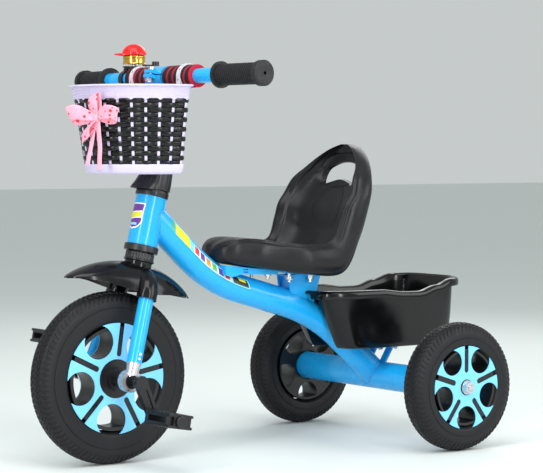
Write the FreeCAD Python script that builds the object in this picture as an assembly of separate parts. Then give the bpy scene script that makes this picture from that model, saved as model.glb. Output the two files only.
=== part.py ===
import FreeCAD, Part
import os, math
from FreeCAD import Vector as V

# Children's tricycle. Millimetres, +Z up, ground at z = 0, front towards -Y,
# rider's left towards +X, origin at the centre of the footprint.

# ---------------------------------------------------------------- driving sizes
REAR_AXLE_Y = 254.88       # rear axle position
WHEELBASE = 510.0
FRONT_AXLE_Y = REAR_AXLE_Y - WHEELBASE
REAR_R = 100.0             # rear tyre radius
REAR_W = 43.0              # rear tyre width
FRONT_R = 129.0            # front tyre radius
FRONT_W = 42.0             # front tyre width
TRACK = 406.0              # distance between rear wheel centre planes
FRAME_TUBE = 45.0          # main and rear axle tube diameter
FRAME_WALL = 1.6
HEAD_OD = 46.0
HEAD_WALL = 2.0
RAKE = 13.6                # steering axis lean, degrees
AXIS_Y = FRONT_AXLE_Y + 11.1   # steering axis crosses wheel-centre height here
AXIS_Z = FRONT_R
FORK_TUBE = 22.4
BAR_TUBE = 22.0            # handlebar diameter
BAR_HALF = 247.0           # half of handlebar overall width
BAR_BEND_X = 126.0
BAR_SWEEP = 6.0            # rearward sweep of the grips, degrees
CRANK_LEN = 55.0
CRANK_ANGLE = 22.5         # left crank, degrees rearward of straight down
AXLE_ROD = 10.0            # rear axle rod diameter
FRONT_ROD = 11.0           # crank axle diameter
FIT = 0.05                 # radial clearance of running fits

os.makedirs("parts", exist_ok=True)
X, Y, Z = V(1, 0, 0), V(0, 1, 0), V(0, 0, 1)
O = V(0, 0, 0)
made = []
import time
T0 = time.time()


def save(name, shape):
    shape.exportStep("parts/" + name + ".step")
    made.append((name, shape))
    bb = shape.BoundBox
    print("%5.1f " % (time.time() - T0), end="")
    print("%-24s solids %2d vol %9.0f ok %s  x %.1f..%.1f y %.1f..%.1f z %.1f..%.1f" % (
        name, len(shape.Solids), shape.Volume, shape.isValid(), bb.XMin, bb.XMax, bb.YMin, bb.YMax, bb.ZMin, bb.ZMax))


def cyl(r, h, p, d=Z):
    return Part.makeCylinder(r, h, p, d)


def cylx(r, x0, x1, y, z):
    return Part.makeCylinder(r, x1 - x0, V(x0, y, z), X)


def ring(ro, ri, h, p, d=Z):
    return cyl(ro, h, p, d).cut(cyl(ri, h, p, d))


def box(x0, x1, y0, y1, z0, z1):
    return Part.makeBox(x1 - x0, y1 - y0, z1 - z0, V(x0, y0, z0))


def rounded_path(pts, radii):
    """straight runs joined by tangent arcs"""
    edges = []
    prev = pts[0]
    for i in range(1, len(pts) - 1):
        a, b, c = pts[i - 1], pts[i], pts[i + 1]
        u = (a - b).normalize()
        w = (c - b).normalize()
        ang = math.pi - u.getAngle(w)
        t = radii[i - 1] * math.tan(ang / 2)
        p1, p2 = b + u * t, b + w * t
        mdir = (u + w).normalize()
        m = b + mdir * (radii[i - 1] / math.cos(ang / 2) - radii[i - 1])
        if (p1 - prev).Length > 1e-6:
            edges.append(Part.LineSegment(prev, p1).toShape())
        edges.append(Part.Arc(p1, m, p2).toShape())
        prev = p2
    edges.append(Part.LineSegment(prev, pts[-1]).toShape())
    return Part.Wire(edges)


def sweep(path, r):
    e = path.Edges[0]
    p = e.valueAt(e.FirstParameter)
    d = e.tangentAt(e.FirstParameter)
    prof = Part.Wire([Part.Circle(p, d, r).toShape()])
    return path.makePipeShell([prof], True, False)


def tube(pts, radii, ro, ri=0):
    path = rounded_path(pts, radii) if len(pts) > 2 else Part.Wire([Part.LineSegment(*pts).toShape()])
    s = sweep(path, ro)
    if ri > 0:
        s = s.cut(sweep(path, ri))
    return s


def revolve_x(profile, y=0.0, z=0.0):
    """profile: closed list of (x, r); turned about the X axis through (y, z)"""
    pts = [V(x, r, 0) for x, r in profile]
    w = Part.makePolygon(pts + [pts[0]])
    s = Part.Face(w).revolve(O, X, 360)
    s.translate(V(0, y, z))
    return s


def revolve_z(profile):
    """profile: closed list of (r, z) turned about the Z axis"""
    pts = [V(r, 0, z) for r, z in profile]
    w = Part.makePolygon(pts + [pts[0]])
    return Part.Face(w).revolve(O, Z, 360)


def loft(sections, ruled=False):
    return Part.makeLoft(sections, True, ruled)


def closed_spline(pts):
    c = Part.BSplineCurve()
    q = list(pts) + [pts[0]]
    c.interpolate(Points=q, Parameters=[float(i) for i in range(len(q))])
    return Part.Wire([c.toShape()])


def steer(shape):
    """from the fork's own frame (steering axis = local Z, origin where the axis
    crosses wheel-centre height) to the tricycle's frame"""
    s = shape.copy()
    s.rotate(O, X, -RAKE)
    s.translate(V(0, AXIS_Y, AXIS_Z))
    return s


def steer_pt(x, y, z):
    a = math.radians(RAKE)
    return V(x, AXIS_Y + y * math.cos(a) + z * math.sin(a), AXIS_Z - y * math.sin(a) + z * math.cos(a))


def group(shapes):
    return Part.makeCompound(shapes)


def mirror_x(s):
    return s.mirror(O, X)


# ---------------------------------------------------------------- main frame
S_HEAD0, S_HEAD1 = 201.0, 275.5    # head tube ends along the steering axis
head_out = steer(cyl(HEAD_OD / 2, S_HEAD1 - S_HEAD0, V(0, 0, S_HEAD0)))
head_in = steer(cyl(HEAD_OD / 2 - HEAD_WALL, S_HEAD1 - S_HEAD0 + 2, V(0, 0, S_HEAD0 - 1)))
head_tube = head_out.cut(head_in)

AX_HALF = 186.0
axle_out = cylx(FRAME_TUBE / 2, -AX_HALF, AX_HALF, REAR_AXLE_Y, REAR_R)
axle_in = cylx(FRAME_TUBE / 2 - FRAME_WALL, -AX_HALF - 1, AX_HALF + 1, REAR_AXLE_Y, REAR_R)
rear_axle_tube = axle_out.cut(axle_in)

DY = REAR_AXLE_Y - 239.0
P0 = V(0, -201 + DY, 372)
P1 = V(0, -88 + DY, 266.7)
P2 = V(0, 117 + DY, 208.7)
P3 = V(0, REAR_AXLE_Y, REAR_R)
MAIN_OD = FRAME_TUBE - 0.4
main_path = rounded_path([P0, P1, P2, P3], [230.0, 305.0])
main_solid = sweep(main_path, MAIN_OD / 2)
main_bore = sweep(main_path, MAIN_OD / 2 - FRAME_WALL)
main_tube = main_solid.cut(main_bore)
main_tube = main_tube.cut(steer(cyl(HEAD_OD / 2, 200, V(0, 0, S_HEAD0 - 60))))
main_tube = main_tube.cut(cylx(FRAME_TUBE / 2, -100, 100, REAR_AXLE_Y, REAR_R))
main_tube = sorted(main_tube.Solids, key=lambda s: s.Volume)[-1]
save("main_tube", main_tube)
save("head_tube", head_tube)
save("rear_axle_tube", rear_axle_tube)

# headset cups pressed into the head tube, the steerer turns in them
STEERER = 25.4
cup_bore = STEERER / 2 + FIT
lower_cup = ring(26, cup_bore, 10.5, V(0, 0, 190.5)).fuse(ring(HEAD_OD / 2 - HEAD_WALL, cup_bore, 14, V(0, 0, 201)))
upper_cup = ring(25, cup_bore, 10, V(0, 0, 275.5)).fuse(ring(HEAD_OD / 2 - HEAD_WALL, cup_bore, 14, V(0, 0, 261.5)))
save("headset_lower_cup", steer(lower_cup.removeSplitter()))
save("headset_upper_cup", steer(upper_cup.removeSplitter()))

# rear axle: plugs, rod, washers, nuts
plug = cylx(FRAME_TUBE / 2 - FRAME_WALL, 166, AX_HALF, REAR_AXLE_Y, REAR_R).fuse(
    cylx(FRAME_TUBE / 2, AX_HALF, AX_HALF + 2.2, REAR_AXLE_Y, REAR_R)).cut(
    cylx(AXLE_ROD / 2, 160, 200, REAR_AXLE_Y, REAR_R)).removeSplitter()
save("rear_axle_plugs", group([plug, mirror_x(plug)]))
ROD_HALF = 236.0
rod = cylx(AXLE_ROD / 2, -ROD_HALF, ROD_HALF, REAR_AXLE_Y, REAR_R)
rod = rod.makeChamfer(0.9, [e for e in rod.Edges if e.Curve.TypeId == "Part::GeomCircle"])
save("rear_axle_rod", rod)
HUB_OUT = TRACK / 2 + 20.9          # outer end of the rear hub boss
washer = cylx(11, HUB_OUT + 0.6, HUB_OUT + 2.2, REAR_AXLE_Y, REAR_R).cut(
    cylx(AXLE_ROD / 2, HUB_OUT, HUB_OUT + 10, REAR_AXLE_Y, REAR_R))


def hexnut(af, h, bore):
    r = af / math.sqrt(3)
    pts = [V(r * math.cos(math.radians(60 * i)), r * math.sin(math.radians(60 * i)), 0) for i in range(6)]
    w = Part.makePolygon(pts + [pts[0]])
    n = Part.Face(w).extrude(V(0, 0, h))
    n = n.common(cyl(r * 0.97, h, O))
    if bore:
        n = n.cut(cyl(bore, h, O))
    return n


nut = hexnut(17, 7.5, AXLE_ROD / 2)
nut.rotate(O, Y, 90)
nut.translate(V(HUB_OUT + 2.2, REAR_AXLE_Y, REAR_R))
save("rear_washers", group([washer, mirror_x(washer)]))
save("rear_axle_nuts", group([nut, mirror_x(nut)]))

# seat bracket: pressed channel on the main tube
BR_Y0, BR_Y1, BR_HW = -80.0 + DY, 113.0 + DY, 30.0


def prism_x(pts, x0, x1):
    w = Part.makePolygon([V(x0, y, z) for y, z in pts] + [V(x0, pts[0][0], pts[0][1])])
    return Part.Face(w).extrude(V(x1 - x0, 0, 0))


def top_z(y):
    t = (y - BR_Y0) / (BR_Y1 - BR_Y0)
    return 291.0 + (273.0 - 291.0) * min(1.0, t * 1.25)


ys = [BR_Y0, BR_Y0 + 40, BR_Y0 + 80, BR_Y0 + 120, BR_Y0 + 154, BR_Y1]
plate = prism_x([(y, top_z(y)) for y in ys] + [(y, top_z(y) - 2.5) for y in reversed(ys)], -BR_HW, BR_HW)
fl = [(BR_Y0, top_z(BR_Y0) - 2.5), (BR_Y0 + 60, top_z(BR_Y0 + 60) - 2.5), (BR_Y0 + 100, top_z(BR_Y0 + 100) - 2.5),
      (BR_Y0 + 100, top_z(BR_Y0 + 100) - 6), (BR_Y0 + 30, 276), (BR_Y0 + 12, 272.5), (BR_Y0, 276)]
flange = prism_x(fl, BR_HW - 2.5, BR_HW)
nose_f = box(-BR_HW, BR_HW, BR_Y0, BR_Y0 + 2.5, 276, top_z(BR_Y0) - 2.0)
bracket = plate.fuse([flange, mirror_x(flange), nose_f])
for sy, sz in ((BR_Y0 + 38, 283.2), (BR_Y0 + 38, 279.2)):
    bracket = bracket.cut(box(-BR_HW - 5, BR_HW + 5, sy - 4.5, sy + 4.5, sz - 0.9, sz + 0.9))
bracket = bracket.cut(main_solid)
bracket = sorted(bracket.Solids, key=lambda s: s.Volume)[-1]
SEAT_BOLTS = [(22.0, 5.0 + DY), (-22.0, 5.0 + DY), (22.0, 88.0 + DY), (-22.0, 88.0 + DY)]
for bx, by in SEAT_BOLTS:
    bracket = bracket.cut(cyl(3.0, 60, V(bx, by, 250)))
bracket = bracket.removeSplitter()

# gusset: folded plate between bracket and main tube
gp = [(50 + DY, 271.0), (114 + DY, 271.0), (97 + DY, 215), (58 + DY, 215)]
side = prism_x(gp, 13.5, 16.0)
front = box(-16, 16, 57 + DY, 59.5 + DY, 215, 271)
fcut = prism_x([(50 + DY, 271.0), (57 + DY, 271.0), (58 + DY, 215), (50 + DY, 215)], -20, 20)
foot = prism_x([(50 + DY, 270.6), (114 + DY, 270.6), (114 + DY, 268.2), (50 + DY, 268.2)], -16, 16)
gusset = side.fuse([mirror_x(side), front, foot])
under = prism_x([(y, top_z(y) - 2.5) for y in (20 + DY, 64 + DY, 74 + DY, 130 + DY)] + [(130 + DY, 300), (20 + DY, 300)], -40, 40)
gusset = gusset.cut(under).cut(main_solid)
gusset = sorted(gusset.Solids, key=lambda s: s.Volume)[-1].removeSplitter()
save("seat_gusset", gusset)
gb = gusset.BoundBox
gusset_room = box(gb.XMin - 0.6, gb.XMax + 0.6, gb.YMin - 1.0, gb.YMax + 0.6, gb.ZMin - 60.0, gb.ZMax + 1.0)

# ---------------------------------------------------------------- seat
# stations: (mode, position, half width, inner centre, rim, outer side, outer centre)
# 'y' planes across the nose and pan, 'f' planes fanned about a line over the pan, 'z' planes across the back
PIV_Y, PIV_Z = 49.0 + DY, 400.0
ST = [
    ("y", -90.5, 12, 316, 315, 304, 303),
    ("y", -84, 30, 324, 320, 297, 296),
    ("y", -68, 42, 330.5, 328, 293.5, 293),
    ("y", -48, 47, 333, 331, 289.5, 289.5),
    ("y", -22, 53, 329, 329, 285.5, 286),
    ("y", 5, 68, 317, 324, 279.5, 281),
    ("y", 30, 86, 307, 322, 275.5, 276),
    ("y", 49, 93, 303, 321, 274.2, 274.2),
    ("f", 25, 98, 107, 81, 139, 139),
    ("f", 50, 101, 102, 64, 115, 116),
    ("f", 72, 102, 91, 60, 108, 110),
    ("z", 400, 101, 150, 119.5, 160.5, 164),
    ("z", 422, 92, 163, 130, 167, 174),
    ("z", 440, 76, 173, 146, 175, 182),
    ("z", 456, 56, 178.5, 157, 183, 188),
    ("z", 469, 32, 180, 166, 189.5, 191),
    ("z", 476.5, 10, 180, 173, 187, 187.5),
]


def seat_ring(w, ic, rt, os_, oc, k=1.0):
    """half section as (x, depth) from the outer centre round the edge to the inner centre"""
    dr = os_ - rt
    h = [(0.0, oc), (0.30 * w, oc + 0.10 * (os_ - oc)), (0.60 * w, oc + 0.55 * (os_ - oc)), (0.83 * w, os_ - 0.03 * dr),
         (0.955 * w, os_ - 0.20 * dr), (1.0 * w, os_ - 0.50 * dr), (0.965 * w, os_ - 0.82 * dr),
         (0.86 * w, rt), (0.76 * w, rt + 0.22 * (ic - rt)), (0.66 * w, rt + 0.62 * (ic - rt)), (0.50 * w, rt + 0.90 * (ic - rt)),
         (0.25 * w, ic), (0.0, ic)]
    return h


def seat_section(st):
    mode, pos, w, ic, rt, os_, oc = st
    if mode == "y":
        h = seat_ring(w, -ic, -rt, -os_, -oc)
        f = lambda x, d: V(x, pos + DY, -d)
    elif mode == "z":
        h = seat_ring(w, ic, rt, os_, oc)
        f = lambda x, d: V(x, d + DY, pos)
    else:
        a = math.radians(pos)
        h = seat_ring(w, ic, rt, os_, oc)
        f = lambda x, d: V(x, PIV_Y + d * math.sin(a), PIV_Z - d * math.cos(a))
    return [f(x, d) for x, d in h] + [f(-x, d) for x, d in reversed(h[1:-1])]


seat = loft([closed_spline(seat_section(s)) for s in ST])
# hand hole in the back
hh = [(-37, 414), (-24, 417), (0, 421), (24, 417), (37, 414), (41, 424), (36, 437), (19, 445), (0, 447), (-19, 445), (-36, 437), (-41, 424)]
hole = Part.Face(closed_spline([V(x, 100 + DY, z) for x, z in hh])).extrude(V(0, 130, 0))
seat = seat.cut(hole)
# flat landing for the bracket plate
seat = seat.cut(prism_x([(y, top_z(y)) for y in ys] + [(BR_Y1, 240), (BR_Y0, 240)], -60, 60))
for bx, by in SEAT_BOLTS:
    seat = seat.cut(cyl(3.0, 22.0, V(bx, by, 262)))
# hollow under the nose that clears the frame tube
seat = seat.cut(sweep(main_path, MAIN_OD / 2 + 0.8))
seat = sorted(seat.Solids, key=lambda q: q.Volume)[-1]
save("seat", seat)
save("seat_bracket", bracket)

bolts = []
for bx, by in SEAT_BOLTS:
    zt = top_z(by)
    b = cyl(2.9, (284.0 - zt) + 14.0, V(bx, by, zt - 14.0))
    wsh = ring(7.0, 2.9, 1.2, V(bx, by, zt - 2.5 - 1.2 - 0.55))
    n = hexnut(10, 5.0, 2.9)
    n.translate(V(bx, by, zt - 2.5 - 1.2 - 0.55 - 5.0))
    bolts += [b, wsh, n]
save("seat_bolts", group(bolts))
gb = cyl(3.0, 16, V(22, 47.0 + DY, 260.0))
gh = hexnut(10, 5.5, 0)
gh.translate(V(22, 47.0 + DY, 264.0))
gbolt = gb.fuse(gh).cut(prism_x([(y, top_z(y) - 2.5) for y in (20 + DY, 64 + DY, 74 + DY, 130 + DY)] + [(130 + DY, 300), (20 + DY, 300)], -40, 40))
save("bracket_bolt", gbolt.removeSplitter())

# ---------------------------------------------------------------- rear bucket


def superell(cx, cy, a, b, n, z, tilt=0.0, N=28, nose=0.0):
    pts = []
    for i in range(N):
        t = 2 * math.pi * i / N
        c, s = math.cos(t), math.sin(t)
        px = a * (abs(c) ** (2.0 / n)) * (1 if c >= 0 else -1)
        py = b * (abs(s) ** (2.0 / n)) * (1 if s >= 0 else -1)
        k = 1.0 - nose * (0.5 - 0.5 * py / b)       # narrower towards the front
        pts.append(V(cx + px * k, cy + py, z + tilt * py))
    return closed_spline(pts)


BZ0, BZ1 = 151.0, 262.0
bk_out = loft([superell(0, 230 + DY, 62, 86, 3.2, BZ0, nose=0.10), superell(0, 222 + DY, 69, 106, 3.4, BZ0 + 12, nose=0.10),
               superell(0, 212 + DY, 80, 143, 3.6, 236, nose=0.12), superell(0, 209 + DY, 84, 152, 3.6, BZ1 + 12, nose=0.12)])
bk_in = loft([superell(0, 230 + DY, 58, 82, 3.2, BZ0 + 2.6, nose=0.10), superell(0, 222 + DY, 66.4, 103.4, 3.4, BZ0 + 13, nose=0.10),
              superell(0, 212 + DY, 77.5, 140.5, 3.6, 236, nose=0.12), superell(0, 209 + DY, 81.4, 149.4, 3.6, BZ1 + 13, nose=0.12)])
lip_out = loft([superell(0, 210 + DY, 88.5, 155, 3.6, 222, nose=0.12), superell(0, 209 + DY, 92, 158.5, 3.6, BZ1 + 12, nose=0.12)])


def rim_z(y):
    """rim height along the length: level arms, shallow dip, raised rear"""
    k = [(30, 240.0), (70, 246.0), (190, 246.0), (214, 240.0), (262, 240.0), (300, 254.0), (335, 261.0), (380, 262.0)]
    for (a, za), (b, zb) in zip(k, k[1:]):
        if y <= b:
            t = max(0.0, (y - a) / (b - a))
            t = t * t * (3 - 2 * t)
            return za + (zb - za) * t
    return k[-1][1]


yy = [20, 50, 80, 120, 190, 198, 206, 214, 226, 240, 262, 270, 280, 290, 300, 310, 320, 335, 350, 380]
above = prism_x([(y + DY, rim_z(y)) for y in yy] + [(yy[-1] + DY, 330), (yy[0] + DY, 330)], -130, 130)
below = prism_x([(y + DY, rim_z(y) - 13.5) for y in yy] + [(yy[-1] + DY, 100), (yy[0] + DY, 100)], -130, 130)
below2 = prism_x([(y + DY, rim_z(y) - 2.6) for y in yy] + [(yy[-1] + DY, 100), (yy[0] + DY, 100)], -130, 130)
lip_skin = lip_out.cut(above).cut(below)
lip_inner = loft([superell(0, 210 + DY, 86, 152.5, 3.6, 221, nose=0.12), superell(0, 209 + DY, 89.5, 156, 3.6, BZ1 + 13, nose=0.12)])
lip = lip_skin.cut(lip_inner.common(below2))
# channel that clears the main tube
CL = [(40, 262), (71, 246), (109, 228), (139, 200), (163, 179), (185, 158), (185, 100), (0, 100), (0, 262)]
clr_out = prism_x([(y + DY, z) for y, z in CL], -31, 31)
CLi = [(44, 266), (74, 249.2), (111.5, 230.8), (141.5, 202.6), (165, 181.6), (190, 158), (190, 100), (0, 100), (0, 266)]
clr_in = prism_x([(y + DY, z) for y, z in CLi], -33.6, 33.6)
tub = bk_out.cut(bk_in.cut(clr_in)).fuse(lip.cut(bk_in))
tub = tub.cut(clr_out).cut(above)
tub = sorted(tub.Solids, key=lambda s: s.Volume)[-1]

# struts and bracket carrying the bucket
strut_solids = []
for sx in (-19.0, 19.0):
    base = V(sx, REAR_AXLE_Y - 2.0, REAR_R + FRAME_TUBE / 2 - 4.0)
    topp = V(sx, REAR_AXLE_Y + 17.0, 148.6)
    d = topp - base
    b = Part.makeBox(14, 3.2, d.Length + 6, V(-7, -1.6, 0))
    b.rotate(O, X, -math.degrees(math.atan2(d.y, d.z)))
    b.translate(base)
    b = b.common(box(-60, 60, REAR_AXLE_Y - 40, REAR_AXLE_Y + 60, 90, 148.4))
    b = b.cut(cylx(FRAME_TUBE / 2, -60, 60, REAR_AXLE_Y, REAR_R))
    b = b.cut(sweep(main_path, MAIN_OD / 2 + 0.1))
    strut_solids.append(sorted(b.Solids, key=lambda s: s.Volume)[-1])
save("bucket_struts", group(strut_solids))
bkplate = box(-32, 32, 221 + DY, 275 + DY, 148.4, 150.9)
bkplate = bkplate.makeFillet(6, [e for e in bkplate.Edges if abs(e.tangentAt(e.FirstParameter).z) > 0.9])
BK_SCREWS = [(-22.0, 232.0 + DY), (22.0, 232.0 + DY), (-22.0, 264.0 + DY), (22.0, 264.0 + DY)]
for bx, by in BK_SCREWS:
    bkplate = bkplate.cut(cyl(2.5, 30, V(bx, by, 140)))
    tub = tub.cut(cyl(2.5, 30, V(bx, by, 140)))
save("bucket_bracket", bkplate)
tub = tub.cut(sweep(main_path, MAIN_OD / 2 + 1.2))
tub = sorted(tub.Solids, key=lambda q: q.Volume)[-1].cut(gusset_room)
tub = sorted(tub.Solids, key=lambda q: q.Volume)[-1]
save("bucket", tub)
scr = []
for bx, by in BK_SCREWS:
    s = cyl(2.45, 14.0, V(bx, by, 142.4))
    head = Part.makeSphere(6.0, V(bx, by, BZ0 + 2.6 - 3.4)).common(cyl(6, 6, V(bx, by, BZ0 + 2.65)))
    n = hexnut(8, 4.0, 2.45)
    n.translate(V(bx, by, 144.3))
    scr += [s.fuse(head).removeSplitter(), n]
save("bucket_screws", group(scr))

# ---------------------------------------------------------------- steering: fork
U_TOP = 156.0


def fork_path():
    return rounded_path([V(-57.6, -9.5, 24.0), V(-38.5, 1.5, U_TOP), V(38.5, 1.5, U_TOP), V(57.6, -9.5, 24.0)], [34.0, 34.0])


fpath = fork_path()
fork_tube = sweep(fpath, FORK_TUBE / 2)
fork_bore = sweep(fpath, FORK_TUBE / 2 - 1.6)
fork = fork_tube.cut(fork_bore)
steerer = cyl(STEERER / 2, 318 - U_TOP, V(0, 0, U_TOP)).cut(cyl(STEERER / 2 - 1.9, 400, V(0, 0, 100))).cut(fork_tube)
steerer = sorted(steerer.Solids, key=lambda s: s.Volume)[-1]
save("fork", steer(fork))
save("steerer_tube", steer(steerer))

# cast fork ends with an eye for the crank axle
AXL = V(0, (FRONT_AXLE_Y - AXIS_Y) * math.cos(math.radians(RAKE)), (FRONT_AXLE_Y - AXIS_Y) * math.sin(math.radians(RAKE)))
EYE_X0, EYE_X1 = 51.0, 64.0
leg_dir = (V(38.5, 1.5, U_TOP) - V(57.6, -9.5, 24.0)).normalize()
leg_bot = V(57.6, -9.5, 24.0)
neck = Part.makeCone(8.5, FORK_TUBE / 2 - 0.3, 22.0, leg_bot - leg_dir * 22.0, leg_dir)
stub = cyl(FORK_TUBE / 2 - 1.6, 16, leg_bot, leg_dir)
eye = cylx(16.5, EYE_X0, EYE_X1, AXL.y, AXL.z)
lug = neck.fuse([stub, eye]).removeSplitter()
lug = lug.cut(cylx(9.0, 40, 80, AXL.y, AXL.z))
save("fork_ends", group([steer(lug), steer(mirror_x(lug))]))
bush = cylx(9.0, EYE_X0, EYE_X1, AXL.y, AXL.z).fuse(cylx(11.0, EYE_X1, EYE_X1 + 1.5, AXL.y, AXL.z)).cut(
    cylx(FRONT_ROD / 2 + FIT, 40, 80, AXL.y, AXL.z)).removeSplitter()
save("fork_bushes", group([steer(bush), steer(mirror_x(bush))]))
rivets = []
for k in (6.0, 13.0):
    c = leg_bot + leg_dir * k
    out = V(1, 0, 0) - leg_dir * leg_dir.x
    out.normalize()
    r = cyl(2.2, 4.2, c + out * (FORK_TUBE / 2 - 3.0), out)
    rivets.append(r)
rv = []
for r in rivets:
    r = r.cut(fork_tube.cut(fork_bore)).cut(lug)
    s = sorted(r.Solids, key=lambda q: q.CenterOfMass.x)[-1]
    rv += [s]
save("fork_end_rivets", group([steer(s) for s in rv] + [steer(mirror_x(s)) for s in rv]))

# mudguard: arched blade with two shoulder sleeves over the fork
MG = [(116.0, 5, 170.5, 168.0), (112.5, 18, 171.0, 163.5), (106, 28, 172.0, 155.0), (98, 33, 173.0, 146.0), (90, 36.5, 174.0, 138.0), (82, 39.5, 175.0, 133.0),
      (74, 41, 176.5, 132.0), (66, 40.5, 178.0, 135.0), (58, 36.5, 179.5, 143.5), (50, 29, 180.5, 156.0), (43, 17, 181.0, 169.5), (38.8, 5, 181.0, 178.5)]


def mg_section(a, w, rc, re, t):
    ar = math.radians(a)
    n = 8
    outer, inner = [], []
    for i in range(n + 1):
        s = -1 + 2.0 * i / n
        th = math.pi * (0.5 - 0.5 * s)
        x = w * math.cos(th)
        r = re + (rc - re) * math.sin(th)
        k = (w - t) / w if w > t * 2 else 0.5
        xi = x * k
        ri = re + (rc - t - re) * math.sin(th) if rc - t > re else re + 0.3 * (rc - re) * math.sin(th)
        outer.append((x, r))
        inner.append((xi, ri))
    pts = outer + inner[::-1]
    vv = [V(x, FRONT_AXLE_Y + r * math.cos(ar), FRONT_R + r * math.sin(ar)) for x, r in pts]
    return Part.makePolygon(vv + [vv[0]])


blade = loft([mg_section(a, w, rc, re, 2.4) for a, w, rc, re in MG], True)
# sleeve follows the fork tube
q = (V(57.6, -9.5, 24.0) - V(38.5, 1.5, U_TOP)).normalize()
endp = V(38.5, 1.5, U_TOP) + q * 36.5
sl_path = rounded_path([V(-endp.x, endp.y, endp.z), V(-38.5, 1.5, U_TOP), V(38.5, 1.5, U_TOP), endp], [34.0, 34.0])
sleeve_out = sweep(sl_path, 15.4)
sleeve_out = steer(sleeve_out)
fork_clear = steer(sweep(fpath, FORK_TUBE / 2 + 0.35))
collar = steer(cyl(21.0, 16.0, V(0, 0, 160.0)))
guard = blade.fuse([sleeve_out, collar])
guard = guard.cut(fork_clear).cut(steer(cyl(STEERER / 2 + 0.1, 60, V(0, 0, 156))))
guard = guard.cut(cylx(150.0, -23.5, 23.5, FRONT_AXLE_Y, FRONT_R))
guard = sorted(guard.Solids, key=lambda s: s.Volume)[-1]
save("mudguard", guard)

# dust cover between mudguard and lower cup, turning with the fork
dust = ring(22.0, STEERER / 2 + 0.35, 13.7, V(0, 0, 176.3))
save("fork_dust_cover", steer(dust))

# headset nut and stem cover above the head tube
nut_hs = hexnut(36, 9.0, STEERER / 2 + 0.02)
nut_hs.translate(V(0, 0, 286.0))
save("headset_nut", steer(nut_hs))
cover = revolve_z([(25.5, 286.3), (25.8, 300), (24.6, 318), (19.0, 332), (16.0, 338), (13.0, 338), (13.0, 336), (16.8, 329.8),
                   (22.2, 316.5), (23.3, 300), (23.3, 286.3)])
vis_o = Part.makeCone(39.5, 25.0, 26.0, V(0, 0, 280.5), Z)
vis_i = Part.makeCone(37.4, 23.4, 26.0, V(0, 0, 279.0), Z)
wedge = Part.Face(Part.makePolygon([V(0, 4, 270), V(-52, -38, 270), V(-30, -70, 270), V(30, -70, 270), V(52, -38, 270), V(0, 4, 270)])).extrude(V(0, 0, 60))
visor = vis_o.cut(vis_i).common(wedge).cut(cyl(25.6, 40, V(0, 0, 275)))
cover = cover.fuse(visor)
cover = sorted(cover.Solids, key=lambda s: s.Volume)[-1]
# the skirt is cut back where the basket hangs in front of it
BK_PLANE = -183.3        # back face of the basket
cover = steer(cover).cut(box(-60, 60, -400, BK_PLANE + 0.4, 431.4, 600))
save("stem_cover", sorted(cover.Solids, key=lambda q: q.Volume)[-1])

# quill stem with clamp
BAR_Y, BAR_Z = -23.8, 454.4
STEM = 21.2
stem_pts = [V(0, 0, 215), V(0, 0, 428), V(0, BAR_Y, BAR_Z + 2)]
stem_body = tube(stem_pts, [26.0], STEM / 2)
clampb = cylx(17.0, -21.0, 21.0, BAR_Y, BAR_Z)
stem = stem_body.fuse(clampb).cut(cylx(BAR_TUBE / 2, -60, 60, BAR_Y, BAR_Z))
ear = box(-9, 9, BAR_Y - 27, BAR_Y - 12, BAR_Z - 6.0, BAR_Z + 6.0)
stem = stem.fuse(ear).cut(box(-30, 30, BAR_Y - 30, BAR_Y, BAR_Z - 1.0, BAR_Z + 1.0)).cut(cylx(BAR_TUBE / 2, -60, 60, BAR_Y, BAR_Z))
stem = stem.cut(cyl(3.05, 40, V(0, BAR_Y - 20.5, BAR_Z - 20)))
stem = sorted(stem.Solids, key=lambda s: s.Volume)[-1].removeSplitter()
save("handlebar_stem", steer(stem))
sb = cyl(3.0, 19.0, V(0, BAR_Y - 20.5, BAR_Z - 12)).fuse(cyl(5.0, 5.0, V(0, BAR_Y - 20.5, BAR_Z + 6.0)))
sb = sb.cut(cyl(2.2, 3.0, V(0, BAR_Y - 20.5, BAR_Z + 9.0)))
sbn = hexnut(10, 5, 3.0)
sbn.translate(V(0, BAR_Y - 20.5, BAR_Z - 11.0))
save("stem_clamp_bolt", group([steer(sb.removeSplitter()), steer(sbn)]))
exp_nut = cyl(10.3, 20, V(0, 0, 194.6))
save("stem_wedge", steer(exp_nut.cut(cyl(3.0, 30, V(0, 0, 190)))))

# handlebar in the tricycle's frame
HB = steer_pt(0, BAR_Y, BAR_Z)
sw = math.radians(BAR_SWEEP)
tip = V(BAR_BEND_X + (BAR_HALF - 4.0 - BAR_BEND_X), HB.y + (BAR_HALF - 4.0 - BAR_BEND_X) * math.tan(sw), HB.z)
bar_pts = [V(-tip.x, tip.y, tip.z), V(-BAR_BEND_X, HB.y, HB.z), V(BAR_BEND_X, HB.y, HB.z), tip]
bar = tube(bar_pts, [120.0, 120.0], BAR_TUBE / 2, BAR_TUBE / 2 - 1.5)
save("handlebar", bar)
gd = V(math.cos(sw), math.sin(sw), 0)
tip_len = (BAR_HALF - BAR_BEND_X) / math.cos(sw)
gend = V(BAR_BEND_X, HB.y, HB.z) + gd * tip_len
GL = 97.0
g0 = gend - gd * GL


def along(r, a, b):
    return Part.makeCylinder(r, b - a, g0 + gd * a, gd)


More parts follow.
